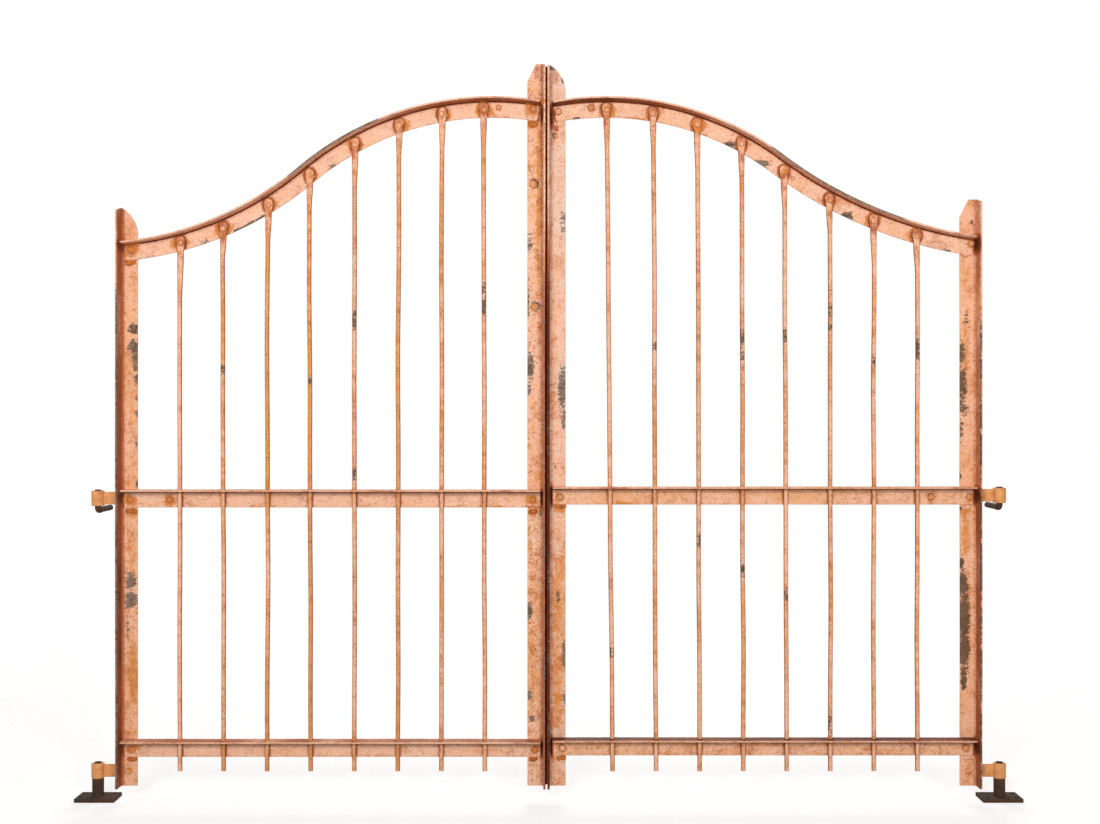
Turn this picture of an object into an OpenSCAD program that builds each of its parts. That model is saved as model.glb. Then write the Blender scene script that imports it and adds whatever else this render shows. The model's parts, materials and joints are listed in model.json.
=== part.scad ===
// Double-leaf driveway gate of riveted angle iron and round bars.
// Lengths are in mm. X runs from the left hinge axis to the right one, Z is up from the ground,
// and -Y is the side that shows the flanges of the angle irons and towards which the leaves open.
// Each leaf is drawn with X measured from its own hinge axis; the right leaf is mirrored into place.

/* [Leaf] */
// Width of the left leaf over its two stiles
left_leaf_w = 1179; // [1120:1:1300]
// Width of the right leaf over its two stiles
right_leaf_w = 1191; // [1120:1:1300]
// Slot between the two meeting stiles
meeting_gap = 6; // [6:1:20]
// Distance from a hinge axis to the outer face of the hinge stile
hinge_offset = 62; // [45:1:90]

/* [Heights] */
// Top of both leaves at the crown of the top rail
crown_z = 1938; // [1800:1:2100]
// Top of the left leaf's middle rail
left_mid_z = 860; // [600:1:1000]
// Top of the right leaf's middle rail
right_mid_z = 868; // [600:1:1000]
// Top of the left leaf's bottom rail
left_bottom_z = 170; // [160:1:260]
// Top of the right leaf's bottom rail
right_bottom_z = 174; // [160:1:260]
// Foot of the stiles above the ground
stile_foot_z = 40; // [25:1:50]
// Foot of the round bars above the ground
bar_foot_z = 85; // [60:1:105]

/* [Top rail curve] */
// Distance from the outer face of a hinge stile to the middle of the crown
crown_offset = 1031; // [980:1:1060]
// Radius of the crown, on top of the rail
crown_r = 820; // [700:1:950]
// Angle that the left crown turns through before the rail bends up again
left_turn = 40; // [30:0.1:45]
// Angle that the right crown turns through before the rail bends up again
right_turn = 36.7; // [30:0.1:45]
// Radius of the left dip, on top of the rail
left_dip_r = 890; // [750:1:1300]
// Radius of the right dip, on top of the rail
right_dip_r = 1170; // [750:1:1300]

/* [Stiles] */
// Width of the legs of the stiles' angle iron
stile_w = 50; // [45:1:65]
// Thickness of the legs of the stiles' angle iron
stile_t = 6; // [4:0.5:10]
// Height of the left hinge stile above the end of its top rail
left_hinge_rise = 97; // [70:1:150]
// Height of the right hinge stile above the end of its top rail
right_hinge_rise = 106; // [70:1:150]
// Height of the meeting stiles above the ends of their top rails
meeting_rise = 110; // [90:1:150]
// Radius of the rounded stile tips
tip_r = 90; // [85:1:130]
// Height over which a stile tip is rounded
tip_h = 77; // [50:1:80]
// Height that the tip of an edge leg falls from back to front
tip_drop = 12; // [0:1:20]
// Width of the chamfer on the cut stile tips
chamfer_w = 24; // [10:1:30]
// Height of the chamfer on the cut stile tips
chamfer_h = 48; // [20:1:80]

/* [Rails] */
// Width of the legs of the rails' angle iron
rail_w = 50; // [45:1:60]
// Thickness of the legs of the rails' angle iron
rail_t = 5; // [4:0.5:8]
// Radius of the fillet in the root of all angle iron
root_r = 5; // [3:0.5:6]
// Room between the end of a rail and the stile's fillet
end_room = 1; // [0.5:0.5:4]

/* [Bars] */
// Diameter of the round bars
bar_d = 12.7; // [10:0.1:16]
// Distance from the outer face of a hinge stile to the first bar
bar_margin = 172; // [140:1:180]
// Distance between neighbouring bars
bar_pitch = 120; // [100:1:125]
// Room between the face of a rail and the bars in front of it
bar_stand = 6; // [5.5:0.5:10]
// Radial room of the bars in the punched holes of the rails
hole_room = 0.4; // [0.2:0.1:1]
// Width of the flattened bar heads
head_w = 28; // [22:1:30]
// Thickness of the flattened bar heads
head_t = 6; // [4:0.5:8]
// Room between a flattened bar head and the fillet of the top rail above it
head_room = 0.5; // [0.5:0.5:4]
// Height of a flattened bar head above its rivet
head_rise = 18; // [15:1:19]
// Radius of the upper corners of the flattened bar heads
head_r = 9; // [5:1:10]
// Length of the flat below a rivet
flat_length = 26; // [20:1:40]
// Width of the flat where the neck of the bar begins
neck_w = 18; // [14:1:20]
// Length over which a flattened head runs out into the round bar
neck_length = 54; // [20:1:90]
// Lean of each left bar from foot to head, towards the meeting stile, from the hinge on
left_lean = [-1, -3, 2, -4, 1, 3, 2, -4]; // [-20:1:20]
// Lean of each right bar from foot to head, towards the meeting stile, from the hinge on
right_lean = [0, -1, 1, 6, 4, 6, 8, 16]; // [-20:1:20]

/* [Cover strip] */
// Distance that the cover strip laps behind the left meeting stile
strip_lap = 45; // [36:1:46]
// Thickness of the cover strip
strip_t = 5; // [3:0.5:6]
// Distance that the cover strip bends back to clear the right meeting stile
strip_back = 5; // [5:0.5:8]
// Length over which the cover strip bends back
strip_bend = 6; // [5:1:10]
// Room between the cover strip and the edge of the right leaf as one swings past the other
pass_room = 0.5; // [0.5:0.1:2]
// Distance from the top of the left meeting stile down to the cover strip
strip_drop = 4; // [2:1:20]

/* [Hinges] */
// Diameter of the hinge pins
pin_d = 18; // [14:1:22]
// Radial room of the pins in their eyes
pin_room = 0.3; // [0.2:0.1:0.6]
// Outer diameter of the eyes
eye_d = 36; // [34:1:44]
// Height of the eyes
eye_h = 42; // [36:1:50]
// Height of the straps
strap_h = 35; // [24:1:36]
// Thickness of the straps
strap_t = 8; // [6:0.5:10]
// Length of the upper strap past the inner edge of the hinge stile
strap_overhang = 105; // [80:1:160]
// Length over which the upper strap bends forward onto the rail
joggle_run = 14; // [10:1:25]
// Height of the middle of the heel strap above the ground
heel_z = 80; // [76:1:100]
// Distance of the heel strap's end from the inner edge of the hinge stile
heel_inset = 6; // [4:1:15]
// Distance that a pin stands out above its eye
pin_proud = 3; // [1:1:8]

/* [Hook pins] */
// Length of the tail that is built in, behind its shoulder
tail_length = 95; // [60:1:180]
// Diameter of the tail
tail_d = 16; // [10:1:17]
// Distance from the hinge axis back to the shoulder of the tail
shoulder_y = 25; // [24:1:40]
// Room between the eye and the tail below it
tail_room = 3; // [1:0.5:6]

/* [Ground pivots] */
// Width of the base plate
plate_w = 110; // [100:1:140]
// Depth of the base plate
plate_d = 80; // [70:1:110]
// Thickness of the base plate
plate_t = 10; // [6:1:14]
// Diameter of the bolt holes in the base plate
bolt_hole_d = 13; // [9:1:15]
// Distance between the bolt holes along the width
bolt_span_x = 80; // [74:1:84]
// Distance between the bolt holes along the depth
bolt_span_y = 50; // [44:1:54]
// Diameter of the collar that carries the leaf
collar_d = 32; // [24:1:34]
// Room between the collar and the eye above it
collar_room = 0.3; // [0.2:0.1:0.6]

/* [Hidden] */
$fn = 96;
// Facets of a full circle on the long curves of the top rail
curve_fn = 720;
// Facets of the shapes that are blended by a hull
blend_fn = 32;
// Overlap that lets a cut pass clean through
through = 1;
// Thickness of the slices between which a bar's neck is blended
slice = 0.5;

sides = ["left", "right"];
bars = [1:min(len(left_lean), len(right_lean))];
pieces = ["hinge_stile", "meeting_stile", "top_rail", "mid_rail", "bottom_rail",
          "upper_strap", "heel_strap", "hook_pin", "ground_pivot"];

paint = [0.90, 0.70, 0.58];
ochre = [0.86, 0.62, 0.43];
rust = [0.55, 0.34, 0.20];
iron = [0.30, 0.26, 0.24];

// Planes across the thickness of a leaf, from the back of the straps to the front of the bars
stile_back_y = -strap_t / 2;
rail_back_y = stile_back_y - stile_t;
rail_face_y = rail_back_y - rail_t;
bar_y = rail_face_y - bar_stand - bar_d / 2;

// Stations along a leaf, from its hinge axis
stile_inner_x = hinge_offset + stile_w;
end_inset = stile_t + root_r + end_room;
rail_x0 = hinge_offset + end_inset;
crown_x = hinge_offset + crown_offset;
head_reach = head_r + norm([head_w / 2 - head_r, head_rise - head_r]);
rivet_depth = rail_t + root_r + head_room + head_reach;
bar_x1 = hinge_offset + bar_margin;
span = 2 * hinge_offset + left_leaf_w + meeting_gap + right_leaf_w;

crown_c = [crown_x, crown_z - crown_r];
eye_bore_d = pin_d + 2 * pin_room;
strap_x0 = (eye_bore_d + eye_d) / 4;
heel_eye_z = heel_z - eye_h / 2;

// Values that differ between the two leaves
function meeting_x(side) = hinge_offset + (side == "left" ? left_leaf_w : right_leaf_w);
function rail_x1(side) = meeting_x(side) - end_inset;
function mid_z(side) = side == "left" ? left_mid_z : right_mid_z;
function bottom_z(side) = side == "left" ? left_bottom_z : right_bottom_z;
function turn(side) = side == "left" ? left_turn : right_turn;
function dip_r(side) = side == "left" ? left_dip_r : right_dip_r;
function hinge_rise(side) = side == "left" ? left_hinge_rise : right_hinge_rise;
function lean(side, bar) = (side == "left" ? left_lean : right_lean)[bar - 1];
function strap_z(side) = mid_z(side) - rail_w / 2;

// Centre of the dip, which meets the crown without a kink
function dip_c(side) = crown_c + (crown_r + dip_r(side)) * [-sin(turn(side)), cos(turn(side))];

// Height of the line that runs along the top rail at a depth below its top, square to the rail
function crown_line_z(x, depth) =
    crown_c[1] + sqrt(pow(crown_r - depth, 2) - pow(x - crown_x, 2));
function dip_line_z(side, x, depth) =
    dip_c(side)[1] - sqrt(pow(dip_r(side) + depth, 2) - pow(x - dip_c(side)[0], 2));
function turn_x(side, depth) = crown_x - (crown_r - depth) * sin(turn(side));
function rail_line_z(side, x, depth = 0) =
    x > turn_x(side, depth) ? crown_line_z(x, depth) : dip_line_z(side, x, depth);

function meeting_top_z(side) = rail_line_z(side, rail_x1(side)) + meeting_rise;

// Foot, head and tilt of a bar
function foot_x(bar) = bar_x1 + (bar - 1) * bar_pitch;
function head_x(side, bar) = foot_x(bar) + lean(side, bar);
function head_z(side, bar) = rail_line_z(side, head_x(side, bar), rivet_depth);
function tilt(side, bar) = atan2(lean(side, bar), head_z(side, bar) - bar_foot_z);
function bar_length(side, bar) = (head_z(side, bar) - bar_foot_z) / cos(tilt(side, bar));

module placed(side) {
    if (side == "left")
        children();
    else
        translate([span, 0, 0])
            mirror([1, 0, 0])
                children();
}

// Section of an angle iron with its heel in the origin and its legs along +X and +Y
module angle_section(w, t) {
    square([w, t]);
    square([t, w]);
    difference() {
        square(t + root_r);
        translate([t + root_r, t + root_r])
            circle(root_r);
    }
}

// Front view of a stile with its edge leg at X = 0
module stile_outline(top_z, rounded) {
    tip_z = top_z - (rounded ? tip_h : chamfer_h);
    translate([0, stile_foot_z])
        square([stile_w, tip_z - stile_foot_z]);
    if (rounded)
        intersection() {
            translate([0, tip_z])
                square([stile_w, tip_h]);
            translate([stile_w - tip_r, tip_z])
                circle(tip_r, $fn = curve_fn);
        }
    else
        polygon([[0, tip_z], [stile_w, tip_z], [stile_w - chamfer_w, top_z], [0, top_z]]);
}

// Side view of a stile with the back of its face leg at Y = 0
module stile_profile(top_z) {
    polygon([[through, 0], [through, top_z], [-stile_t, top_z], [-stile_w, top_z - tip_drop],
             [-stile_w - through, top_z - tip_drop], [-stile_w - through, 0]]);
}

// Upright angle iron with its edge leg at X = 0 and its face leg towards +X
module stile(top_z, rounded) {
    intersection() {
        translate([0, stile_back_y, stile_foot_z])
            linear_extrude(top_z - stile_foot_z)
                mirror([0, 1])
                    angle_section(stile_w, stile_t);
        translate([0, stile_back_y + through, 0])
            rotate([90, 0, 0])
                linear_extrude(stile_w + 2 * through)
                    stile_outline(top_z, rounded);
        translate([-through, stile_back_y, 0])
            rotate([90, 0, 90])
                linear_extrude(stile_w + 2 * through)
                    stile_profile(top_z);
    }
}

module hinge_stile(side) {
    color(paint)
        translate([hinge_offset, 0, 0])
            stile(rail_line_z(side, rail_x0) + hinge_rise(side), rounded = side == "left");
}

module meeting_stile(side) {
    color(ochre)
        translate([meeting_x(side), 0, 0])
            mirror([1, 0, 0])
                stile(meeting_top_z(side), rounded = side == "right");
}

// Strip that closes the slot from behind; it is held to the left meeting stile and bends back past it
module cover_strip() {
    lap_x = meeting_x("left") - strip_lap;
    end_x = meeting_x("left") + meeting_gap - pass_room;
    bend_x = meeting_x("left") - strip_t - strip_bend;
    top_z = meeting_top_z("left") - strip_drop;
    color(iron)
        intersection() {
            translate([0, stile_back_y, stile_foot_z])
                linear_extrude(top_z - stile_foot_z)
                    polygon([[lap_x, 0], [bend_x, 0], [bend_x + strip_bend, strip_back], [end_x, strip_back],
                             [end_x, strip_back + strip_t], [bend_x, strip_back + strip_t],
                             [bend_x - strip_bend, strip_t], [lap_x, strip_t]]);
            translate([0, stile_back_y + strip_back + strip_t + through, 0])
                rotate([90, 0, 0])
                    linear_extrude(strip_back + strip_t + 2 * through)
                        polygon([[lap_x, 0], [end_x, 0], [end_x, top_z], [lap_x + chamfer_w, top_z],
                                 [lap_x, top_z - chamfer_h]]);
        }
}

// Stretch of the top rail about a centre straight above the crown's, from a start angle on
module rail_arc(centre_z, start, sweep) {
    translate([0, 0, centre_z])
        rotate([90, 0, 0])
            rotate_extrude(angle = sweep, start = start, $fn = curve_fn)
                children();
}

// The crown and the dip meet on a line through both centres, which stands upright until it is turned
module top_rail(side) {
    crown_sweep = turn(side) + asin((rail_x1(side) - crown_x) / crown_r);
    dip_sweep = turn(side) - asin((rail_x0 - dip_c(side)[0]) / dip_r(side));
    color(paint)
        translate([crown_x, rail_back_y, crown_c[1]])
            rotate([0, -turn(side), 0])
                mirror([1, 0, 0]) {
                    rail_arc(0, 90, crown_sweep)
                        translate([crown_r, 0])
                            mirror([1, 0])
                                angle_section(rail_w, rail_t);
                    rail_arc(crown_r + dip_r(side), 270, dip_sweep)
                        translate([dip_r(side), 0])
                            angle_section(rail_w, rail_t);
                }
}

// Straight rail with its flange on top, punched for the bars
module straight_rail(side, top_z) {
    difference() {
        translate([rail_x0, rail_back_y, top_z])
            rotate([0, 90, 0])
                linear_extrude(rail_x1(side) - rail_x0)
                    mirror([0, 1])
                        angle_section(rail_w, rail_t);
        for (bar = bars)
            along_bar(side, bar)
                shaft(bar_d / 2 + hole_room, bar_length(side, bar));
    }
}

module mid_rail(side) {
    color(paint)
        straight_rail(side, mid_z(side));
}

module bottom_rail(side) {
    color(paint)
        straight_rail(side, bottom_z(side));
}

// Places a shape that hangs down from a bar's rivet, on the face of the top rail
module along_bar(side, bar) {
    translate([head_x(side, bar), rail_face_y, head_z(side, bar)])
        rotate([0, tilt(side, bar), 0])
            children();
}

module shaft(r, length) {
    translate([0, bar_y - rail_face_y, -length])
        cylinder(r = r, h = length - flat_length - neck_length);
}

// Flat of a bar's head against the rail, with round upper corners and narrower below
module head_flat() {
    shoulder_x = head_w / 2 - head_r;
    shoulder_z = head_rise - head_r;
    rotate([90, 0, 0])
        linear_extrude(head_t) {
            for (x = [-shoulder_x, shoulder_x])
                translate([x, shoulder_z])
                    circle(head_r);
            translate([-shoulder_x, 0])
                square([2 * shoulder_x, head_rise]);
            polygon([[-head_w / 2, shoulder_z], [head_w / 2, shoulder_z],
                     [neck_w / 2, -flat_length], [-neck_w / 2, -flat_length]]);
        }
}

// Blend from the narrow end of the flat to the round bar
module neck() {
    hull() {
        translate([-neck_w / 2, -head_t, -flat_length - slice])
            cube([neck_w, head_t, slice]);
        translate([0, bar_y - rail_face_y, -flat_length - neck_length])
            cylinder(d = bar_d, h = slice, $fn = blend_fn);
    }
}

module bar(side, bar) {
    color(ochre)
        along_bar(side, bar) {
            head_flat();
            neck();
            shaft(bar_d / 2, bar_length(side, bar));
        }
}

// Eye about the hinge axis with a strap that follows a plan and a front view
module eye_strap(z, end_x) {
    translate([0, 0, z])
        difference() {
            union() {
                cylinder(d = eye_d, h = eye_h, center = true);
                intersection() {
                    linear_extrude(eye_h, center = true)
                        children();
                    translate([0, eye_d, 0])
                        rotate([90, 0, 0])
                            linear_extrude(2 * eye_d)
                                strap_front(end_x);
                }
            }
            cylinder(d = eye_bore_d, h = eye_h + 2 * through, center = true);
        }
}

// Front view of a strap, flared towards its eye and rounded at its end
module strap_front(end_x) {
    polygon([[strap_x0, eye_h / 2], [hinge_offset, strap_h / 2], [end_x - strap_h / 2, strap_h / 2],
             [end_x - strap_h / 2, -strap_h / 2], [hinge_offset, -strap_h / 2], [strap_x0, -eye_h / 2]]);
    translate([end_x - strap_h / 2, 0])
        circle(d = strap_h);
}

// Strap behind the hinge stile that bends forward onto the back of the middle rail
module upper_strap(side) {
    end_x = stile_inner_x + strap_overhang;
    bend_x = stile_inner_x + end_room;
    color(rust)
        eye_strap(strap_z(side), end_x)
            polygon([[strap_x0, stile_back_y], [bend_x, stile_back_y],
                     [bend_x + joggle_run, rail_back_y], [end_x, rail_back_y],
                     [end_x, rail_back_y + strap_t], [bend_x + joggle_run, rail_back_y + strap_t],
                     [bend_x, stile_back_y + strap_t], [strap_x0, stile_back_y + strap_t]]);
}

// Short strap behind the foot of the hinge stile
module heel_strap() {
    end_x = stile_inner_x - heel_inset;
    color(rust)
        eye_strap(heel_z, end_x)
            translate([strap_x0, stile_back_y])
                square([end_x - strap_x0, strap_t]);
}

// Bent pin: its upright end goes through the upper eye, and its tail runs back from a shoulder
module hook_pin(side) {
    tail_z = strap_z(side) - eye_h / 2 - tail_room - pin_d / 2;
    color(iron)
        translate([0, 0, tail_z]) {
            cylinder(d = pin_d, h = pin_d / 2 + tail_room + eye_h + pin_proud);
            sphere(d = pin_d);
            rotate([-90, 0, 0]) {
                cylinder(d = pin_d, h = shoulder_y);
                cylinder(d = tail_d, h = shoulder_y + tail_length);
            }
        }
}

// Base plate with a collar under the heel eye and a pin through it
module ground_pivot() {
    color(iron)
        difference() {
            union() {
                translate([-plate_w / 2, -plate_d / 2, 0])
                    cube([plate_w, plate_d, plate_t]);
                cylinder(d = collar_d, h = heel_eye_z - collar_room);
                cylinder(d = pin_d, h = heel_eye_z + eye_h + pin_proud);
            }
            for (x = [-1, 1], y = [-1, 1])
                translate([x * bolt_span_x / 2, y * bolt_span_y / 2, -through])
                    cylinder(d = bolt_hole_d, h = plate_t + 2 * through);
        }
}

placed("left") cover_strip();  // left_cover_strip
for (side = sides) {
    placed(side) hinge_stile(side);
    placed(side) meeting_stile(side);
    placed(side) top_rail(side);
    placed(side) mid_rail(side);
    placed(side) bottom_rail(side);
    placed(side) upper_strap(side);
    placed(side) heel_strap();
    placed(side) hook_pin(side);
    placed(side) ground_pivot();
    for (bar = bars)
        placed(side) bar(side, bar);
}
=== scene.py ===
"""Looks of a double-leaf driveway gate: old salmon paint and rust on angle iron and round bars."""

import json
import math
import random
from collections import namedtuple

import bmesh
import bpy
from mathutils import Matrix, Vector, noise


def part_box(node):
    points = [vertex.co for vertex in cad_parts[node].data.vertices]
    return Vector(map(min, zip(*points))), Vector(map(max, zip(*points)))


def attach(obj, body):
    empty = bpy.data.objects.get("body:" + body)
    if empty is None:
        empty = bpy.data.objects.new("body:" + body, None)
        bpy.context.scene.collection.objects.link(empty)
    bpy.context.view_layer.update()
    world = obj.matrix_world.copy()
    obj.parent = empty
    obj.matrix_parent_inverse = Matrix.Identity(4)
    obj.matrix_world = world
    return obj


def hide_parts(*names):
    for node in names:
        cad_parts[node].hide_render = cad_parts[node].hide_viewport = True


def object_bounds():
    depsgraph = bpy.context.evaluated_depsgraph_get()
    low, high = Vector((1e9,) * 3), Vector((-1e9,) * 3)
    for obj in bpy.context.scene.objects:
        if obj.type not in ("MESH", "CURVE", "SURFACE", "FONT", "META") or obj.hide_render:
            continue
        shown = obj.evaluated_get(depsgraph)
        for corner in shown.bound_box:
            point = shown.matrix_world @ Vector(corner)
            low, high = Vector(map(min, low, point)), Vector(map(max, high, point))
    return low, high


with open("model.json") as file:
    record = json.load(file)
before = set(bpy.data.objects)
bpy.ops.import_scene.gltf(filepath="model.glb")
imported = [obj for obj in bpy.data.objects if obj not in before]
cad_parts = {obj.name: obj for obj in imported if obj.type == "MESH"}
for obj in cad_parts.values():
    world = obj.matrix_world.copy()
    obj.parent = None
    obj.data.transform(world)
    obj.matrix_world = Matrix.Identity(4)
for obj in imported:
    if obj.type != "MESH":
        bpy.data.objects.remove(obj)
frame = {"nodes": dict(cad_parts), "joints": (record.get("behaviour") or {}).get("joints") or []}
cad_low, cad_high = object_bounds()

# Without a seed of its own, the noise would bend and stain the iron another way in every run
NOISE_SEED = 11
noise.seed_set(NOISE_SEED)

# Angle iron, in metres, and the grid that its faces are divided into
STILE_T = 0.006
RAIL_T = 0.005
ROOT_R = 0.005
HEEL_R = 0.0012
TOE_R = 0.0030
GRID = 0.0055

# Angles past which an edge shows as a sharp one, is the rim of a strap, or is worn round
SHARP_ANGLE = math.radians(38)
RIM_ANGLE = math.radians(60)
WORN_ANGLE = math.radians(50)

# Curve of the top rails
CROWN_R = 0.820
CROWN_OFFSET = 1.031
LEFT_TURN, LEFT_DIP_R = math.radians(40.0), 0.890
RIGHT_TURN, RIGHT_DIP_R = math.radians(36.7), 1.170

# Tips of the stiles
TIP_R = 0.090
TIP_H = 0.077
TIP_FACETS = 8
CHAMFER_W = 0.024
CHAMFER_H = 0.048
TIP_DROP = 0.012

# Round bars and their hammered heads
BAR_D = 0.0127
BAR_STAND = 0.006
BAR_SIDES = 16
BAR_NUMBERS = range(1, 9)
HOLE_ROOM = 0.0004
HEAD_W = 0.028
HEAD_T = 0.006
HEAD_R = 0.009
HEAD_RISE = 0.018
HEAD_TIP_THIN = 0.7
FLAT_LENGTH = 0.026
NECK_W = 0.018
ROUND, SQUARE = 2.0, 4.0
BAR_BOW = 0.0035
FULL_BOW_SPAN = 0.6
SHAFT_ROW = 0.008
HEAD_ROW = 0.003

# Cover strip behind the slot, and how far the right leaf's edge leg reaches out to it
STRIP_T = 0.005
SLOT_REACH = 0.0004

# Hinge hardware
EYE_BORE_R = 0.0093
EYE_LIP = 0.0035
EYE_SIDES = 56
BORE_RING = 0.002
STRAP_H = 0.035
STRAP_T = 0.008
STRAP_EDGE = 0.0014
STRAP_END_R = STRAP_H * 0.49
JOGGLE_RUN = 0.014
END_ROOM = 0.001
PIN_R = 0.009
PIN_BEND_R = 0.011
PIN_ROW = 0.002
PIN_EDGE = 0.002
PIN_SIDES = 32
TAIL_R = 0.008
SHOULDER_Y = 0.025
WORN_EDGE = 0.0012

# Rivets and bolts, and how deep their heads sit
HEAD_RIVET_D = 0.016
END_RIVET_D = 0.018
RIVET_DROP = 0.004
HEAD_SEAT = 0.0006
HEAD_TAPER = 0.97
WASHER_T = 0.0025
WASHER_SEAT = 0.0018
BOLT_HEAD_H = 0.0055
BOLT_SHARE = 0.72
NUT_H = 0.0080
NUT_SHARE = 0.85

# Weld beads and their lumps, and the tacks beside the heads of the bars
BEAD_T = 0.0055
BEAD_LUMPS = (-0.24, 0.0, 0.22)
WELD_BUMPS = ((110, 0.0028), (320, 0.0010))
TACK_W = 0.010
TACK_H = 0.016
TACK_T = 0.0050
TACK_CHANCE = 0.6

# Sway and dents of old iron, and how close together they come
SWAY = 0.0006
RAIL_SWAY = 0.0003
SLOT_SWAY = 0.0001
DENT = 0.00018
BAR_DENT = 0.0002
STRAP_DENT = 0.0004
HEAD_DENT = 0.0005
SWAYS_A_METRE = 4.5
DENTS_A_METRE = 85
STRAP_DENTS_A_METRE = 60
HEAD_DENTS_A_METRE = 160

# Tolerances of cuts, and of points that count as level or are joined
CUT_ROOM = 1e-6
LEVEL_ROOM = 1e-5

# Planes across a leaf that the frame gives
STILE_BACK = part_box("left_hinge_stile")[1].y
STILE_FACE = STILE_BACK - STILE_T
RAIL_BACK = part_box("left_mid_rail")[1].y
RAIL_FACE = RAIL_BACK - RAIL_T
HEAD_FRONT = RAIL_FACE - HEAD_T
BAR_Y = RAIL_FACE - BAR_STAND - BAR_D / 2

# Camera, found from the photograph
CAMERA_AT = (1.2535, -4.222, 1.074)
CAMERA_LENS = 49.81
SENSOR_W = 36.0

# Lamps: name, place, aim, width and power
LAMPS = (
    ("front_left", (0.1, -5.6, 2.5), (1.1, 0, 1.1), 1.4, 152),
    ("front_right", (2.8, -5.6, 2.0), (1.5, 0, 1.0), 1.4, 95),
    ("behind", (1.6, 4.6, 3.6), (1.25, 0, 1.0), 2.4, 125),
)

# Backdrop, and the floor that fades out into it
WHITE = (1, 1, 1, 1)
DAYLIGHT = 0.33
FLOOR_R = 6.0
FLOOR_SIDES = 96
FLOOR_DROP = 0.0005
FLOOR_GREY = (0.56, 0.55, 0.54, 1)
FLOOR_GLOW = (0.60, 0.60, 0.60, 1)
FADE_FROM, FADE_TO = 1.8, 4.0

# The two ways to look at a leaf, along Y
FRONT, BACK = -1, 1

# Kinds of wear and painted shade, and the shares of a stain's radius where it starts to fade and where it
# ends
WEAR = ("rust", "bare", "wash", "dirt_and_shade")
Stain = namedtuple("Stain", "kind x z rx rz strength")
STAIN_FULL, STAIN_END = 0.3, 1.6

# Ring of dirt and painted contact shade, and bloom of rust, round the rivets
RIVET_RING_R = 0.0105
RIVET_RING_DIRT_AND_SHADE = 0.8
TOP_BLOOM_R = 0.028

# Distance from a stile's heel at which the inner side of its edge leg begins
INNER_SIDE = STILE_T * 0.7

# How far behind the face of a stile or a rail a point still counts as its front
FACE_ROOM = 0.001

# Heights between which the lower wear of the stiles fades out, and the dirt and painted shade at the slot
LOW_DOWN, HIGH_UP = 0.5, 1.5
SLOT_FULL_BELOW, SLOT_FADED_ABOVE = 1.3, 1.7

# Half the height over which the chips of an edge leg set in
CHIP_FADE = 0.06

# Thin dirt on the backs of the stiles
BACK_DIRT = 0.06

# Even wear of the bolts, and ochre wash on the rivets
BOLT_WEAR = {"rust": 0.45, "wash": 0.85, "dirt_and_shade": 0.16}
RIVET_WASH = 0.6

# Distances in front of a rail's face between which its flange and the flange's front edge begin
FLANGE_START = (0.0015, 0.006)
FLANGE_EDGE = (0.036, 0.043)

# Distances from the root and from the ends of a rail between which their dirt and painted shade fade out
ROOT_FADE = (0.004, 0.010)
END_FADE = (0.0015, 0.0060)

# Heights above the lower edge of a rail between which its rust and its bare stretches set in
LOWER_RUST = (0.016, 0.003)
LOWER_CHIP = (0.008, 0.002)


def bare(x, z, rx, rz, strength=1.0):
    """Patch where the paint is gone down to the iron."""
    return Stain("bare", x, z, rx, rz, strength)


def rust(x, z, rx, rz, strength=1.0):
    """Bloom of orange rust."""
    return Stain("rust", x, z, rx, rz, strength)


def dirt_and_shade(x, z, rx, rz, strength=1.0):
    """Darkening that is dirt at a tip or a weld, and dirt with painted shade in a corner, where a rail meets
    a stile, or round a rivet or a head.
    """
    return Stain("dirt_and_shade", x, z, rx, rz, strength)


def ochre(x, z, rx, rz, strength=1.0):
    """Stretch where rust has washed into the paint."""
    return Stain("wash", x, z, rx, rz, strength)
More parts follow.
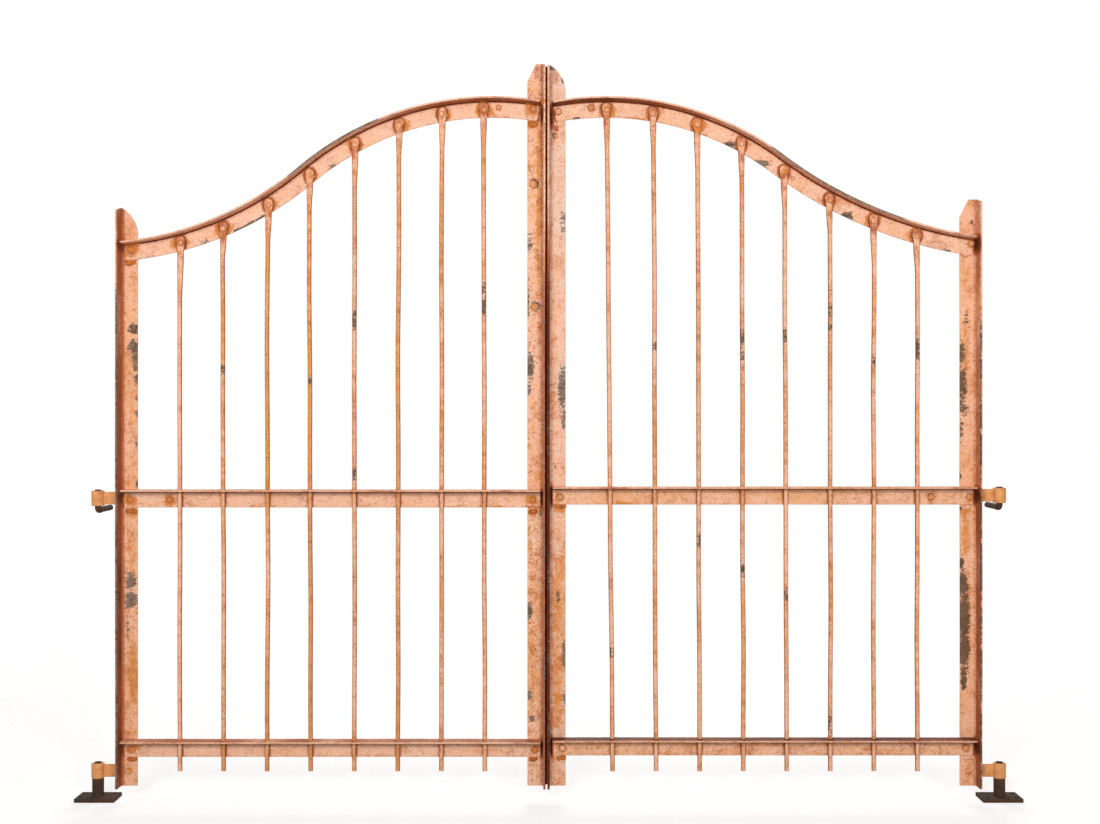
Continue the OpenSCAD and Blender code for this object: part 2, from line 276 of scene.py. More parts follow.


# Wear that the photograph shows on the stiles, in each leaf's own places
# The dark stains at the heights of the rails, where the rails end against the stiles, are dirt and painted
# contact shade
STILE_STAINS = {
    "left_hinge_stile": [
        bare(0.102, 1.305, 0.018, 0.014, 0.95), bare(0.102, 1.254, 0.018, 0.019, 1.0),
        bare(0.107, 1.218, 0.010, 0.032, 0.9), bare(0.109, 1.165, 0.008, 0.022, 0.65),
        bare(0.109, 1.110, 0.005, 0.010, 0.7), bare(0.110, 1.070, 0.005, 0.012, 0.7),
        bare(0.109, 0.990, 0.005, 0.014, 0.8), bare(0.110, 0.874, 0.004, 0.012, 0.8),
        bare(0.094, 0.604, 0.016, 0.024, 0.9), bare(0.095, 0.552, 0.020, 0.026, 0.9),
        bare(0.085, 0.480, 0.006, 0.028, 0.6),
        ochre(0.104, 1.400, 0.010, 0.080, 0.65), ochre(0.102, 1.060, 0.014, 0.110, 0.70),
        ochre(0.098, 0.680, 0.016, 0.090, 0.8), ochre(0.100, 0.360, 0.016, 0.110, 0.9),
        rust(0.095, 1.500, 0.026, 0.018, 0.8), rust(0.100, 0.795, 0.024, 0.018, 0.8),
        rust(0.088, 0.872, 0.012, 0.010, 0.6), rust(0.098, 1.440, 0.014, 0.040, 0.40),
        rust(0.100, 0.340, 0.014, 0.030, 0.45), rust(0.086, 0.186, 0.012, 0.010, 0.6),
        dirt_and_shade(0.071, 1.530, 0.006, 0.026, 0.8), dirt_and_shade(0.071, 0.836, 0.006, 0.028, 0.8),
        dirt_and_shade(0.071, 0.146, 0.006, 0.028, 0.8),
    ],
    "left_meeting_stile": [
        bare(1.197, 1.542, 0.013, 0.026, 0.65), bare(1.193, 1.385, 0.005, 0.060, 0.8),
        bare(1.199, 1.200, 0.011, 0.044, 0.9), bare(1.196, 1.140, 0.008, 0.024, 0.75),
        bare(1.196, 0.526, 0.010, 0.026, 0.85), bare(1.195, 0.290, 0.009, 0.018, 0.75),
        bare(1.203, 0.222, 0.014, 0.012, 0.6), bare(1.228, 0.792, 0.004, 0.016, 0.8),
        ochre(1.222, 1.600, 0.008, 0.400, 0.9), ochre(1.210, 0.950, 0.030, 0.180, 0.50),
        ochre(1.212, 0.450, 0.034, 0.400, 0.58),
        rust(1.205, 1.872, 0.022, 0.018, 0.9), rust(1.205, 0.798, 0.020, 0.018, 0.9),
        rust(1.232, 1.928, 0.010, 0.014, 1.0), rust(1.232, 0.890, 0.006, 0.030, 0.8),
        rust(1.228, 0.500, 0.010, 0.300, 0.45),
        dirt_and_shade(1.2305, 1.895, 0.005, 0.034, 1.0), dirt_and_shade(1.2295, 0.834, 0.006, 0.032, 1.0),
        dirt_and_shade(1.2295, 0.144, 0.006, 0.032, 1.0), dirt_and_shade(1.215, 2.020, 0.014, 0.016, 0.35),
    ],
    "right_hinge_stile": [
        bare(0.108, 0.655, 0.008, 0.024, 0.85), bare(0.104, 0.600, 0.014, 0.042),
        bare(0.101, 0.510, 0.017, 0.072), bare(0.101, 0.420, 0.016, 0.062),
        bare(0.102, 0.340, 0.009, 0.042, 0.95), bare(0.107, 1.240, 0.009, 0.032, 0.85),
        bare(0.106, 1.150, 0.015, 0.050, 0.9), bare(0.104, 1.095, 0.015, 0.036, 0.7),
        bare(0.108, 1.020, 0.006, 0.030, 0.6), bare(0.078, 1.599, 0.004, 0.010, 1.0),
        bare(0.111, 0.894, 0.003, 0.014, 0.8), bare(0.110, 0.806, 0.004, 0.006, 0.9),
        bare(0.094, 1.330, 0.006, 0.024, 0.55),
        ochre(0.097, 1.458, 0.013, 0.050, 0.65), ochre(0.098, 1.270, 0.015, 0.110, 0.70),
        ochre(0.096, 0.740, 0.014, 0.070, 0.8), ochre(0.090, 0.470, 0.012, 0.180, 0.8),
        rust(0.098, 1.508, 0.020, 0.014, 0.7), rust(0.096, 0.806, 0.024, 0.014, 0.8),
        rust(0.094, 0.752, 0.008, 0.050, 0.55),
        dirt_and_shade(0.070, 1.535, 0.006, 0.030, 0.9), dirt_and_shade(0.070, 0.842, 0.006, 0.030, 0.9),
        dirt_and_shade(0.070, 0.150, 0.006, 0.030, 0.9),
    ],
    "right_meeting_stile": [
        bare(1.208, 1.594, 0.013, 0.050, 0.55), bare(1.212, 1.140, 0.012, 0.066, 0.95),
        bare(1.208, 1.050, 0.007, 0.030, 0.8), bare(1.207, 0.402, 0.007, 0.040, 0.85),
        bare(1.206, 0.281, 0.006, 0.016, 0.9), bare(1.233, 0.924, 0.003, 0.007, 1.0),
        bare(1.224, 0.560, 0.006, 0.024, 0.6), bare(1.240, 2.028, 0.020, 0.007, 0.9),
        bare(1.211, 1.992, 0.005, 0.012, 0.9),
        ochre(1.236, 1.200, 0.008, 0.300, 0.6), ochre(1.222, 0.450, 0.030, 0.360, 0.74),
        rust(1.219, 1.867, 0.020, 0.014, 0.5), rust(1.218, 0.806, 0.024, 0.016, 0.9),
        rust(1.232, 0.450, 0.012, 0.300, 0.40), rust(1.224, 0.250, 0.020, 0.090, 0.6),
        dirt_and_shade(1.242, 1.890, 0.006, 0.038, 1.0), dirt_and_shade(1.230, 2.000, 0.014, 0.022, 0.32),
        dirt_and_shade(1.242, 0.842, 0.006, 0.034, 1.0), dirt_and_shade(1.242, 0.148, 0.006, 0.034, 1.0),
        dirt_and_shade(1.230, 1.858, 0.008, 0.010, 0.6),
    ],
}

# Height below which the front edge of each edge leg loses its paint, and how much of it
EDGE_CHIPS = {
    "left_hinge_stile": (1.40, 0.55), "left_meeting_stile": (1.45, -0.15),
    "right_hinge_stile": (1.33, 0.35), "right_meeting_stile": (1.20, 0.00),
}

# Dirt and painted shade in the roots of the stiles
ROOT_DIRT_AND_SHADE = {
    "left_hinge_stile": 0.50, "left_meeting_stile": 0.36,
    "right_hinge_stile": 0.28, "right_meeting_stile": 0.24,
}

# Painted shade on the inner sides of the edge legs
LEG_SHADE = {"left": 0.46, "right": 0.24}

# Dirt on the front edges of the edge legs at the slot
SLOT_EDGE_DIRT = {"left": 0.44, "right": 1.00}

# Ochre wash on the faces of the stiles, above and below
STILE_WASH = {
    "left_hinge_stile": (0.22, 0.30), "left_meeting_stile": (0.24, 0.40),
    "right_hinge_stile": (0.25, 0.22), "right_meeting_stile": (0.00, 0.40),
}

# Stretches along the top rails where the front edge of the flange is bare
FLANGE_BARE = {"left": [(0.535, 0.784)], "right": [(0.279, 0.640)]}

# Painted shade on the underside of the flanges of the top rails, at the hinge and at the slot
FLANGE_UNDERSIDE_SHADE = {"left": (0.24, 0.62), "right": (0.26, 0.80)}

# Painted shade under the flanges of the straight rails, and dirt and ochre wash on top of them
UNDERSIDE_SHADE = 0.85
MIDDLE_DIRT = 0.16
BOTTOM_DIRT = {"left": 0.36, "right": 0.82}
FLANGE_WASH = 0.6

# Thin dirt on the faces of the rails
FACE_DIRT = 0.02
BOTTOM_FACE_DIRT = {"left": 0.03, "right": 0.15}

# Share of ochre wash on the rails
RAIL_WASH = {
    "left": {"top": 0.20, "mid": 0.32, "bottom": 0.36},
    "right": {"top": 0.36, "mid": 0.66, "bottom": 0.60},
}

# Stretches along the top rails where the lower edge is bare
LOWER_BARE = {
    "left": [(0.378, 0.465)],
    "right": [(0.140, 0.160), (1.165, 1.185)],
}

# Bare patches above the lower edge of the top rails: place, half width and strength
RAIL_PATCHES = {
    "left": ((0.655, 0.016, 0.6), (0.300, 0.014, 0.5)),
    "right": ((0.752, 0.020, 0.75), (0.665, 0.028, 0.80), (0.427, 0.017, 1.20)),
}

# Chips on the bars: bar number, middle and half length
BAR_CHIPS = {
    "left": [(8, 1.383, 0.042), (5, 1.328, 0.030), (2, 1.190, 0.016), (4, 1.165, 0.014), (5, 0.900, 0.020)],
    "right": [(1, 1.250, 0.030), (2, 1.215, 0.016), (3, 1.335, 0.036), (3, 0.215, 0.024), (4, 1.285, 0.020),
              (4, 0.570, 0.016), (5, 1.260, 0.042), (5, 0.640, 0.022), (6, 0.720, 0.020), (7, 1.255, 0.014),
              (8, 0.410, 0.016)],
}

# Length over which each bar's head runs out into the round bar, from the hinge on
BAR_NECKS = {
    "left": (0.140, 0.065, 0.088, 0.074, 0.104, 0.070, 0.084, 0.096),
    "right": (0.080, 0.106, 0.070, 0.092, 0.084, 0.112, 0.074, 0.090),
}

# Share of ochre rust wash on each bar, from the hinge on
BAR_WASH = {
    "left": (0.10, 0.70, 0.95, 0.90, 0.50, 0.66, 0.56, 0.40),
    "right": (0.36, 0.30, 0.42, 0.30, 0.48, 0.36, 0.44, 0.26),
}

# Rivets through rails and stiles at the hinge and at the slot: distance along the leaf, and share of rust
END_RIVETS = {
    "left": {"top": ((0.096, 1.0), (1.206, 0.9)), "mid": ((0.093, 0.9), (1.206, 0.9)),
             "bottom": ((0.098, 0.8), (1.212, 0.8))},
    "right": {"top": ((0.083, 0.5), (1.224, 0.3)), "mid": ((0.086, 0.5), (1.219, 0.5)),
              "bottom": ((0.097, 0.5), (1.213, 0.5))},
}

# Depth of the end rivets below the top of the top rails, at the hinge and at the slot
TOP_RIVET_DEPTHS = {"left": (0.022, 0.019), "right": (0.018, 0.023)}

# Rivets through the middle rails and the upper straps: distance along the leaf, and share of rust
STRAP_RIVETS = {"left": (0.203, 0.9), "right": (0.193, 0.15)}

# Rivets in the top rails that hold no bar: distance along the leaf, depth and diameter
SPARE_RIVETS = {"left": ((1.112, 0.023, 0.012),), "right": ((1.133, 0.022, 0.018), (0.575, 0.030, 0.010))}

# Bolts in the meeting stiles: distance along the leaf, height and width of the washer
BOLTS = {"left": ((1.206, 1.704, 0.022), (1.209, 1.364, 0.022)), "right": ((1.230, 1.837, 0.014),)}

# Welds under the ends of the rails: place, width and height of each lump
RUSTY_WELDS = {
    "left": ((0.092, 1.488, 0.034, 0.020), (1.207, 1.870, 0.030, 0.020), (0.095, 0.801, 0.036, 0.015),
             (1.207, 0.799, 0.026, 0.016), (0.098, 0.114, 0.030, 0.014), (1.208, 0.115, 0.026, 0.014)),
    "right": ((1.218, 0.812, 0.033, 0.014), (1.216, 0.118, 0.028, 0.014)),
}
PAINTED_WELDS = {
    "left": (),
    "right": ((0.096, 1.512, 0.020, 0.018), (1.219, 1.870, 0.022, 0.018), (0.096, 0.810, 0.022, 0.015),
              (0.092, 0.118, 0.026, 0.014)),
}


def smooth(low, high, value):
    """Soft step from 0 to 1 between low and high."""
    share = min(1.0, max(0.0, (value - low) / (high - low)))
    return share * share * (3 - 2 * share)


def blend(share, start, end):
    """Value at a share of the way from start to end."""
    return start + (end - start) * share


class Leaf:
    """One leaf of the gate. Its places are measured along X from its own hinge axis."""

    def __init__(self, side, turn, dip_r):
        self.side = side
        self.body = f"{side}_leaf"
        joint = next(j for j in frame["joints"] if j["child"] == self.body)
        self.axis_x = joint["pos_m"][0]
        self.hand = 1 if side == "left" else -1
        self.place = Matrix.Translation((self.axis_x, 0, 0)) @ Matrix.Diagonal((self.hand, 1, 1, 1))
        self.turn = turn
        self.dip_r = dip_r
        self.hinge_edge = self.box("hinge_stile")[0].x
        self.stile_inner = self.box("hinge_stile")[1].x
        self.slot_back = STILE_BACK + (STRIP_T if side == "left" else 0.0)
        self.crown_x = self.hinge_edge + CROWN_OFFSET
        self.crown_z = self.box("top_rail")[1].z - CROWN_R
        self.dip_x = self.crown_x - (CROWN_R + dip_r) * math.sin(turn)
        self.dip_z = self.crown_z + (CROWN_R + dip_r) * math.cos(turn)

    def node(self, piece):
        """Name of one of the leaf's nodes."""
        return f"{self.side}_{piece}"

    def box(self, piece):
        """Lowest and highest corner of one of the leaf's nodes, in the leaf's own places."""
        low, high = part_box(self.node(piece))
        ends = sorted(self.hand * (x - self.axis_x) for x in (low.x, high.x))
        return Vector((ends[0], low.y, low.z)), Vector((ends[1], high.y, high.z))

    def end_middle(self, piece, top):
        """Place along the leaf and height of the middle of a node's top or foot."""
        inside = self.place.inverted()
        points = [inside @ v.co for v in frame["nodes"][self.node(piece)].data.vertices]
        level = max(p.z for p in points) if top else min(p.z for p in points)
        xs = [p.x for p in points if abs(p.z - level) < HEAD_ROW]
        return (min(xs) + max(xs)) / 2, level

    def bar_x(self, number, z):
        """Place of the middle of a bar at a height."""
        foot_x, foot_z = self.end_middle(f"bar_{number}", False)
        head_x, head_z = self.end_middle(f"bar_{number}", True)
        return blend((z - foot_z) / (head_z - HEAD_RISE - foot_z), foot_x, head_x)

    def rivet_z(self, row):
        """Height of the rivets on the face of the middle or bottom rail."""
        low, high = self.box(f"{row}_rail")
        return (low.z + high.z) / 2 - RIVET_DROP

    def rail_depth(self, x, z):
        """Depth of a point below the top of the top rail, square to the rail."""
        if x > self.crown_x - CROWN_R * math.sin(self.turn):
            return CROWN_R - math.hypot(x - self.crown_x, z - self.crown_z)
        return math.hypot(x - self.dip_x, z - self.dip_z) - self.dip_r

    def to_crown_end(self, point, end_angle):
        """Distance of a point from the end of the top rail at the slot, along the rail."""
        return CROWN_R * (end_angle - math.atan2(point.x - self.crown_x, point.z - self.crown_z))

    def rail_z(self, x, depth):
        """Height of the line at a depth below the top of the top rail."""
        if x > self.crown_x - (CROWN_R - depth) * math.sin(self.turn):
            return self.crown_z + math.sqrt((CROWN_R - depth) ** 2 - (x - self.crown_x) ** 2)
        return self.dip_z - math.sqrt((self.dip_r + depth) ** 2 - (x - self.dip_x) ** 2)


def colour(red, green, blue):
    """Linear colour of a tint that is written as it looks, from 0 to 255."""
    parts = [c / 255 for c in (red, green, blue)]
    return tuple(c / 12.92 if c <= 0.04045 else ((c + 0.055) / 1.055) ** 2.4 for c in parts) + (1.0,)


PINK = colour(240, 186, 156)
PALE_PINK = colour(245, 200, 174)
DUSTY_PINK = colour(230, 196, 176)
PEACH = colour(233, 172, 128)
OCHRE = colour(220, 148, 88)
DEEP_OCHRE = colour(182, 104, 54)
YELLOW_OCHRE = colour(226, 158, 82)
STRAP_OCHRE = colour(236, 170, 112)
STRAP_BROWN = colour(210, 140, 86)
RUST_ORANGE = colour(212, 126, 58)
RUST_BROWN = colour(164, 90, 44)
# Red-brown and dark brown that the coat lays for dirt and for painted shade
DARK_DIRT_AND_SHADE = colour(86, 34, 14)
RED_DIRT_AND_SHADE = colour(176, 98, 62)
# Browns of the painted shade at the bottom of the slot
SLOT_SHADE_BROWN = colour(140, 74, 44)
SLOT_SHADE_DARK = colour(106, 52, 30)
IRON_GREY = colour(128, 112, 98)
IRON_UMBER = colour(108, 82, 64)
IRON_BROWN = colour(84, 59, 43)
IRON_DARK = colour(58, 47, 40)

# Shine that weathered paint and rust have left, and the depth of their relief
DULL_SHEEN = 0.12
PAINT_RELIEF = 0.0009
STRIP_RELIEF = 0.0010
CRUST_RELIEF = 0.0012


class Finish:
    """Node tree of one finish, with short calls for the nodes that it is made of."""

    def __init__(self, name):
        self.material = bpy.data.materials.new(name)
        self.material.use_nodes = True
        self.nodes = self.material.node_tree.nodes
        self.links = self.material.node_tree.links
        self.shader = self.nodes["Principled BSDF"]
        self.surface = self.nodes.new("ShaderNodeTexCoord")
        self.place = self.surface.outputs["Object"]

    def set(self, socket, value):
        """Links another node to a socket, or writes a constant on it."""
        if isinstance(value, bpy.types.NodeSocket):
            self.links.new(value, socket)
        else:
            socket.default_value = value

    def grain(self, size, stretch=(1, 1, 1), detail=3.0, roughness=0.6):
        """Cloudy noise with lumps of about that size, in metres."""
        mapping = self.nodes.new("ShaderNodeMapping")
        mapping.inputs["Scale"].default_value = stretch
        self.links.new(self.place, mapping.inputs["Vector"])
        texture = self.nodes.new("ShaderNodeTexNoise")
        texture.inputs["Scale"].default_value = 1 / size
        texture.inputs["Detail"].default_value = detail
        texture.inputs["Roughness"].default_value = roughness
        self.links.new(mapping.outputs["Vector"], texture.inputs["Vector"])
        return texture.outputs["Fac"]

    def spots(self, size):
        """Distance from the middle of scattered spots of about that size, in metres."""
        texture = self.nodes.new("ShaderNodeTexVoronoi")
        texture.inputs["Scale"].default_value = 1 / size
        self.links.new(self.place, texture.inputs["Vector"])
        return texture.outputs["Distance"]

    def faces_front(self):
        """One on faces that look to the front of the closed gate."""
        parts = self.nodes.new("ShaderNodeSeparateXYZ")
        self.links.new(self.surface.outputs["Normal"], parts.inputs[0])
        return self.ramp(parts.outputs["Y"], -0.7, -0.4, 1.0, 0.0)

    def wear(self, name):
        """Wear and painted shade that are laid on the vertices of the piece."""
        node = self.nodes.new("ShaderNodeAttribute")
        node.attribute_name = name
        return node.outputs["Fac"]

    def sum(self, *terms):
        """Sum of sockets, numbers, and (socket, weight) pairs taken about their middle of one half."""
        total = None
        for term in terms:
            if isinstance(term, tuple):
                node = self.nodes.new("ShaderNodeMath")
                node.operation = "MULTIPLY_ADD"
                self.set(node.inputs[0], term[0])
                node.inputs[1].default_value = term[1]
                node.inputs[2].default_value = -term[1] / 2
                term = node.outputs[0]
            total = term if total is None else self.math("ADD", total, term)
        return total

    def math(self, operation, first, second):
        """Two values joined by one step of arithmetic."""
        node = self.nodes.new("ShaderNodeMath")
        node.operation = operation
        self.set(node.inputs[0], first)
        self.set(node.inputs[1], second)
        return node.outputs[0]

    def ramp(self, value, low, high, start=0.0, end=1.0):
        """Soft step of a value between low and high, or a falling one where end is below start."""
        node = self.nodes.new("ShaderNodeMapRange")
        node.interpolation_type = "SMOOTHSTEP"
        self.set(node.inputs["Value"], value)
        node.inputs["From Min"].default_value = low
        node.inputs["From Max"].default_value = high
        node.inputs["To Min"].default_value = start
        node.inputs["To Max"].default_value = end
        return node.outputs["Result"]

    def mix(self, share, first, second):
        """Colour at a share of the way from the first to the second."""
        node = self.nodes.new("ShaderNodeMix")
        node.data_type = "RGBA"
        self.set(node.inputs[0], share)
        self.set(node.inputs[6], first)
        self.set(node.inputs[7], second)
        return node.outputs[2]

    def finish(self, base, roughness, height, depth):
        """Joins colour, roughness and relief to the shader and returns the material."""
        bump = self.nodes.new("ShaderNodeBump")
        bump.inputs["Distance"].default_value = depth
        bump.inputs["Strength"].default_value = 1.0
        self.set(bump.inputs["Height"], height)
        self.links.new(bump.outputs["Normal"], self.shader.inputs["Normal"])
        self.set(self.shader.inputs["Base Color"], base)
        self.set(self.shader.inputs["Roughness"], roughness)
        self.shader.inputs["Specular IOR Level"].default_value = DULL_SHEEN
        return self.material


class PaintGrains:
    """Noises of several sizes that the layers of one old paint share."""

    def __init__(self, f, runs):
        self.broad = f.grain(0.14)
        self.middle = f.grain(0.026)
        self.blots = f.grain(0.012, detail=4.0)
        self.fine = f.grain(0.0060)
        self.dust = f.grain(0.0030, detail=2.0)
        self.streaks = f.grain(0.024, stretch=runs, detail=4.0)
        self.runlets = f.grain(0.011, stretch=runs, detail=4.0)
        self.brushed = f.grain(0.011, stretch=(0.3, 1.0, 1.0), detail=4.0, roughness=0.7)


def washed_coat(f, g, coat, thin_coat, wash, mottle, dirt):
    """Salmon coat that thins in broad patches, with ochre wash and darker runlets."""
    base = f.mix(f.ramp(f.sum((g.broad, 1.0), (g.middle, 0.6), 0.5), 0.35, 0.68), coat, thin_coat)
    washed = f.sum(f.wear("wash"), (g.streaks, 1.3), (g.middle, mottle), (g.blots, 0.9), (g.dust, 0.5))
    washed = f.ramp(washed, 0.25, 0.95)
    base = f.mix(washed, base, wash)
    dark_runs = f.ramp(f.sum((g.runlets, 1.0), (g.fine, 0.6), 0.5), 0.53, 0.80, 0.0, dirt)
    return f.mix(dark_runs, base, DEEP_OCHRE)


def peppered_coat(f, g, base, speckle):
    """The coat with a pepper of ochre and specks of rust, which gather where it is washed."""
    spread = f.sum(f.wear("wash"), (g.blots, 1.0), (g.broad, 0.8))
    spread = f.ramp(spread, -0.15, 0.75, 0.45 * speckle, speckle)
    peppered = f.math("MULTIPLY", spread, f.ramp(f.sum((g.fine, 1.0), (g.dust, 0.8), 0.5), 0.52, 0.66))
    pepper = f.mix(f.ramp(f.sum((g.middle, 1.0), (g.dust, 0.6), 0.5), 0.48, 0.64), YELLOW_OCHRE, DEEP_OCHRE)
    base = f.mix(peppered, base, pepper)
    specks = f.ramp(f.sum(f.spots(0.0095), (g.fine, 0.5)), 0.08, 0.22, 0.8, 0.0)
    return f.mix(f.math("MULTIPLY", spread, specks), base, RUST_BROWN)


def dirt_and_shade_coat(f, g, base):
    """The coat with broad red smudges, and dirt and painted shade where the wear attributes lay them."""
    smudges = f.ramp(f.sum((g.broad, 1.0), (g.middle, 1.0), 0.5), 0.52, 0.80, 0.0, 0.30)
    base = f.mix(smudges, base, RED_DIRT_AND_SHADE)
    soil_and_shade = f.sum(f.wear("dirt_and_shade"), (g.fine, 0.45), (g.middle, 0.3))
    base = f.mix(f.ramp(soil_and_shade, 0.08, 0.52), base, RED_DIRT_AND_SHADE)
    return f.mix(f.ramp(soil_and_shade, 0.48, 0.98), base, DARK_DIRT_AND_SHADE)


def rust_blooms(f, g):
    """Share of rust and its colour."""
    bloom = f.ramp(f.sum(f.wear("rust"), (g.middle, 1.5), (g.fine, 1.1)), 0.42, 0.85, 0.0, 0.9)
    rusted = f.math("MULTIPLY", bloom, f.ramp(f.wear("rust"), 0.02, 0.25))
    crust = f.mix(f.ramp(f.sum((g.fine, 0.9), (g.middle, 0.9), 0.5), 0.25, 0.62), RUST_BROWN, RUST_ORANGE)
    yellow = f.ramp(f.sum((g.blots, 1.0), (g.dust, 0.5), 0.5), 0.50, 0.70, 0.0, 0.5)
    return rusted, f.mix(yellow, crust, YELLOW_OCHRE)


def bare_patches(f, g, iron):
    """Share of bare iron and its colour."""
    worn = f.sum(f.wear("bare"), (g.brushed, 1.9), (g.fine, 1.2), (g.dust, 0.9))
    stripped = f.ramp(worn, 0.36, 0.66, 0.0, 0.95)
    stripped = f.math("MULTIPLY", stripped, f.ramp(f.wear("bare"), 0.04, 0.25))
    return stripped, f.mix(f.ramp(f.sum((g.fine, 1.0), (g.middle, 1.2), 0.5), 0.30, 0.62), IRON_BROWN, iron)


def old_paint(name, coat, thin_coat, wash, runs, mottle, speckle, dirt, iron):
    """Weathered salmon paint with ochre wash, dirt and painted shade, rust blooms and bare patches.

    Runs stretch the wash along the piece, mottle breaks it up, speckle peppers it with rust,
    dirt darkens the streaks, and iron is the lighter tint of the bare patches.
    """
    f = Finish(name)
    g = PaintGrains(f, runs)
    base = washed_coat(f, g, coat, thin_coat, wash, mottle, dirt)
    base = dirt_and_shade_coat(f, g, peppered_coat(f, g, base, speckle))
    rusted, crust = rust_blooms(f, g)
    stripped, metal = bare_patches(f, g, iron)
    base = f.mix(stripped, f.mix(rusted, base, crust), metal)
    roughness = f.ramp(f.sum((g.fine, 0.8), (rusted, 0.3), 0.5), 0.2, 0.9, 0.62, 0.95)
    height = f.sum((g.fine, 0.7), (g.dust, 0.25), (rusted, 0.5), (stripped, -0.8), 0.5)
    return f.finish(base, roughness, height, PAINT_RELIEF)


def rust_crust(name, light, dark, size):
    """Scabby rust on welds, straps and bare iron."""
    f = Finish(name)
    lumps = f.grain(size)
    fine = f.grain(size / 5)
    dust = f.grain(0.0016, detail=2.0)
    base = f.mix(f.ramp(f.sum((lumps, 1.2), (fine, 0.7), 0.5), 0.25, 0.75), dark, light)
    base = f.mix(f.ramp(dust, 0.58, 0.72, 0.0, 0.4), base, IRON_BROWN)
    roughness = f.ramp(fine, 0.2, 0.8, 0.65, 0.95)
    height = f.sum((fine, 1.0), (lumps, 0.6), (dust, 0.3), 0.5)
    return f.finish(base, roughness, height, CRUST_RELIEF)


# Stretch of streaks that run down an upright piece or along a level one
UPRIGHT_RUNS = (1.0, 1.0, 0.16)
LEVEL_RUNS = (0.22, 1.0, 1.0)


def strip_paint(name):
    """Streaked salmon paint on the back of the cover strip, and dark brown on its front as painted shade at
    the bottom of the slot.
    """
    f = Finish(name)
    streaks = f.grain(0.024, stretch=UPRIGHT_RUNS, detail=4.0)
    middle = f.grain(0.026)
    fine = f.grain(0.0060)
    coat = f.mix(f.ramp(f.sum((streaks, 1.2), (middle, 0.8), 0.5), 0.30, 0.70), PINK, PEACH)
    coat = f.mix(f.ramp(f.sum((middle, 1.0), (fine, 0.7), 0.5), 0.50, 0.72, 0.0, 0.8), coat, OCHRE)
    coat = f.mix(f.ramp(f.sum((fine, 1.0), (streaks, 0.6), 0.5), 0.56, 0.70, 0.0, 0.8), coat, DEEP_OCHRE)
    # Dark brown on the front of the strip, at the bottom of the slot: painted shade
    rusted = f.mix(f.ramp(f.sum((middle, 1.0), (fine, 0.6), 0.5), 0.30, 0.70), SLOT_SHADE_DARK, SLOT_SHADE_BROWN)
    base = f.mix(f.faces_front(), coat, rusted)
    roughness = f.ramp(fine, 0.2, 0.8, 0.65, 0.95)
    return f.finish(base, roughness, f.sum((fine, 1.0), (middle, 0.4), 0.5), STRIP_RELIEF)


rail_paint = old_paint("rail_salmon_paint", PINK, PALE_PINK, PEACH, LEVEL_RUNS,
                       mottle=0.7, speckle=0.60, dirt=0.45, iron=IRON_GREY)
bar_paint = old_paint("bar_ochre_paint", PINK, PEACH, OCHRE, UPRIGHT_RUNS,
                      mottle=0.9, speckle=0.70, dirt=0.50, iron=IRON_UMBER)
left_hinge_paint = old_paint("left_hinge_paint", PINK, PEACH, OCHRE, UPRIGHT_RUNS,
                             mottle=0.8, speckle=0.80, dirt=0.50, iron=IRON_GREY)
right_hinge_paint = old_paint("right_hinge_paint", PINK, PEACH, OCHRE, UPRIGHT_RUNS,
                              mottle=0.8, speckle=0.80, dirt=0.50, iron=IRON_UMBER)
mottled_paint = old_paint("mottled_salmon_paint", PINK, PALE_PINK, OCHRE, UPRIGHT_RUNS,
                          mottle=1.2, speckle=1.00, dirt=0.50, iron=IRON_GREY)
pink_paint = old_paint("pale_pink_paint", DUSTY_PINK, PINK, OCHRE, UPRIGHT_RUNS,
                       mottle=0.8, speckle=0.80, dirt=0.50, iron=IRON_GREY)
weld_rust = rust_crust("weld_rust", RUST_ORANGE, RUST_BROWN, 0.012)
strap_rust = rust_crust("strap_ochre_rust", STRAP_OCHRE, STRAP_BROWN, 0.020)
dark_iron = rust_crust("dark_iron", IRON_BROWN, IRON_DARK, 0.030)
cover_paint = strip_paint("cover_strip_paint")


def loop_of(made):
    """Edges of the last row that a spin or an extrude made."""
    return [e for e in made if isinstance(e, bmesh.types.BMEdge)]


def verts_of(made):
    """Vertices among what an extrude made."""
    return [v for v in made if isinstance(v, bmesh.types.BMVert)]


def round_off(bm, affect, geom, radius, segments):
    """Rounds off corners of an outline (VERTICES) or edges of a solid (EDGES)."""
    bmesh.ops.bevel(bm, geom=geom, offset=radius, segments=segments, profile=0.5, affect=affect, material=-1)


def angle_section(bm, width, thick, place):
    """Closed outline of an angle iron: heel in the origin, face leg along +X and edge leg along +Y."""
    corners = [(0, 0), (width, 0), (width, thick), (thick, thick), (thick, width), (0, width)]
    radii = [HEEL_R, HEEL_R, TOE_R, ROOT_R, TOE_R, HEEL_R]
    verts = [bm.verts.new((x, y, 0)) for x, y in corners]
    bm.faces.new(verts)
    for vert, radius in zip(verts, radii):
        round_off(bm, "VERTICES", [vert], radius, 3)
    bmesh.ops.delete(bm, geom=bm.faces[:], context="FACES_ONLY")
    for edge in bm.edges[:]:
        cuts = round(edge.calc_length() / GRID) - 1
        if cuts > 0:
            bmesh.ops.subdivide_edges(bm, edges=[edge], cuts=cuts)
    bmesh.ops.transform(bm, matrix=place, verts=bm.verts)
    return bm.edges[:]


def draw_out(bm, loop, way, row):
    """Draws a closed outline out along a straight way, in rows."""
    rows = max(1, round(way.length / row))
    made = bmesh.ops.spin(bm, geom=loop, cent=(0, 0, 0), axis=(0, 0, 1), dvec=way / rows, angle=0, steps=rows)
    return loop_of(made["geom_last"])


def bend_round(bm, loop, centre, angle, radius, row, axis=(0, 1, 0)):
    """Draws a closed outline out along an arc, in rows."""
    rows = max(2, round(abs(angle) * radius / row))
    made = bmesh.ops.spin(bm, geom=loop, cent=centre, axis=axis, angle=angle, steps=rows)
    return loop_of(made["geom_last"])


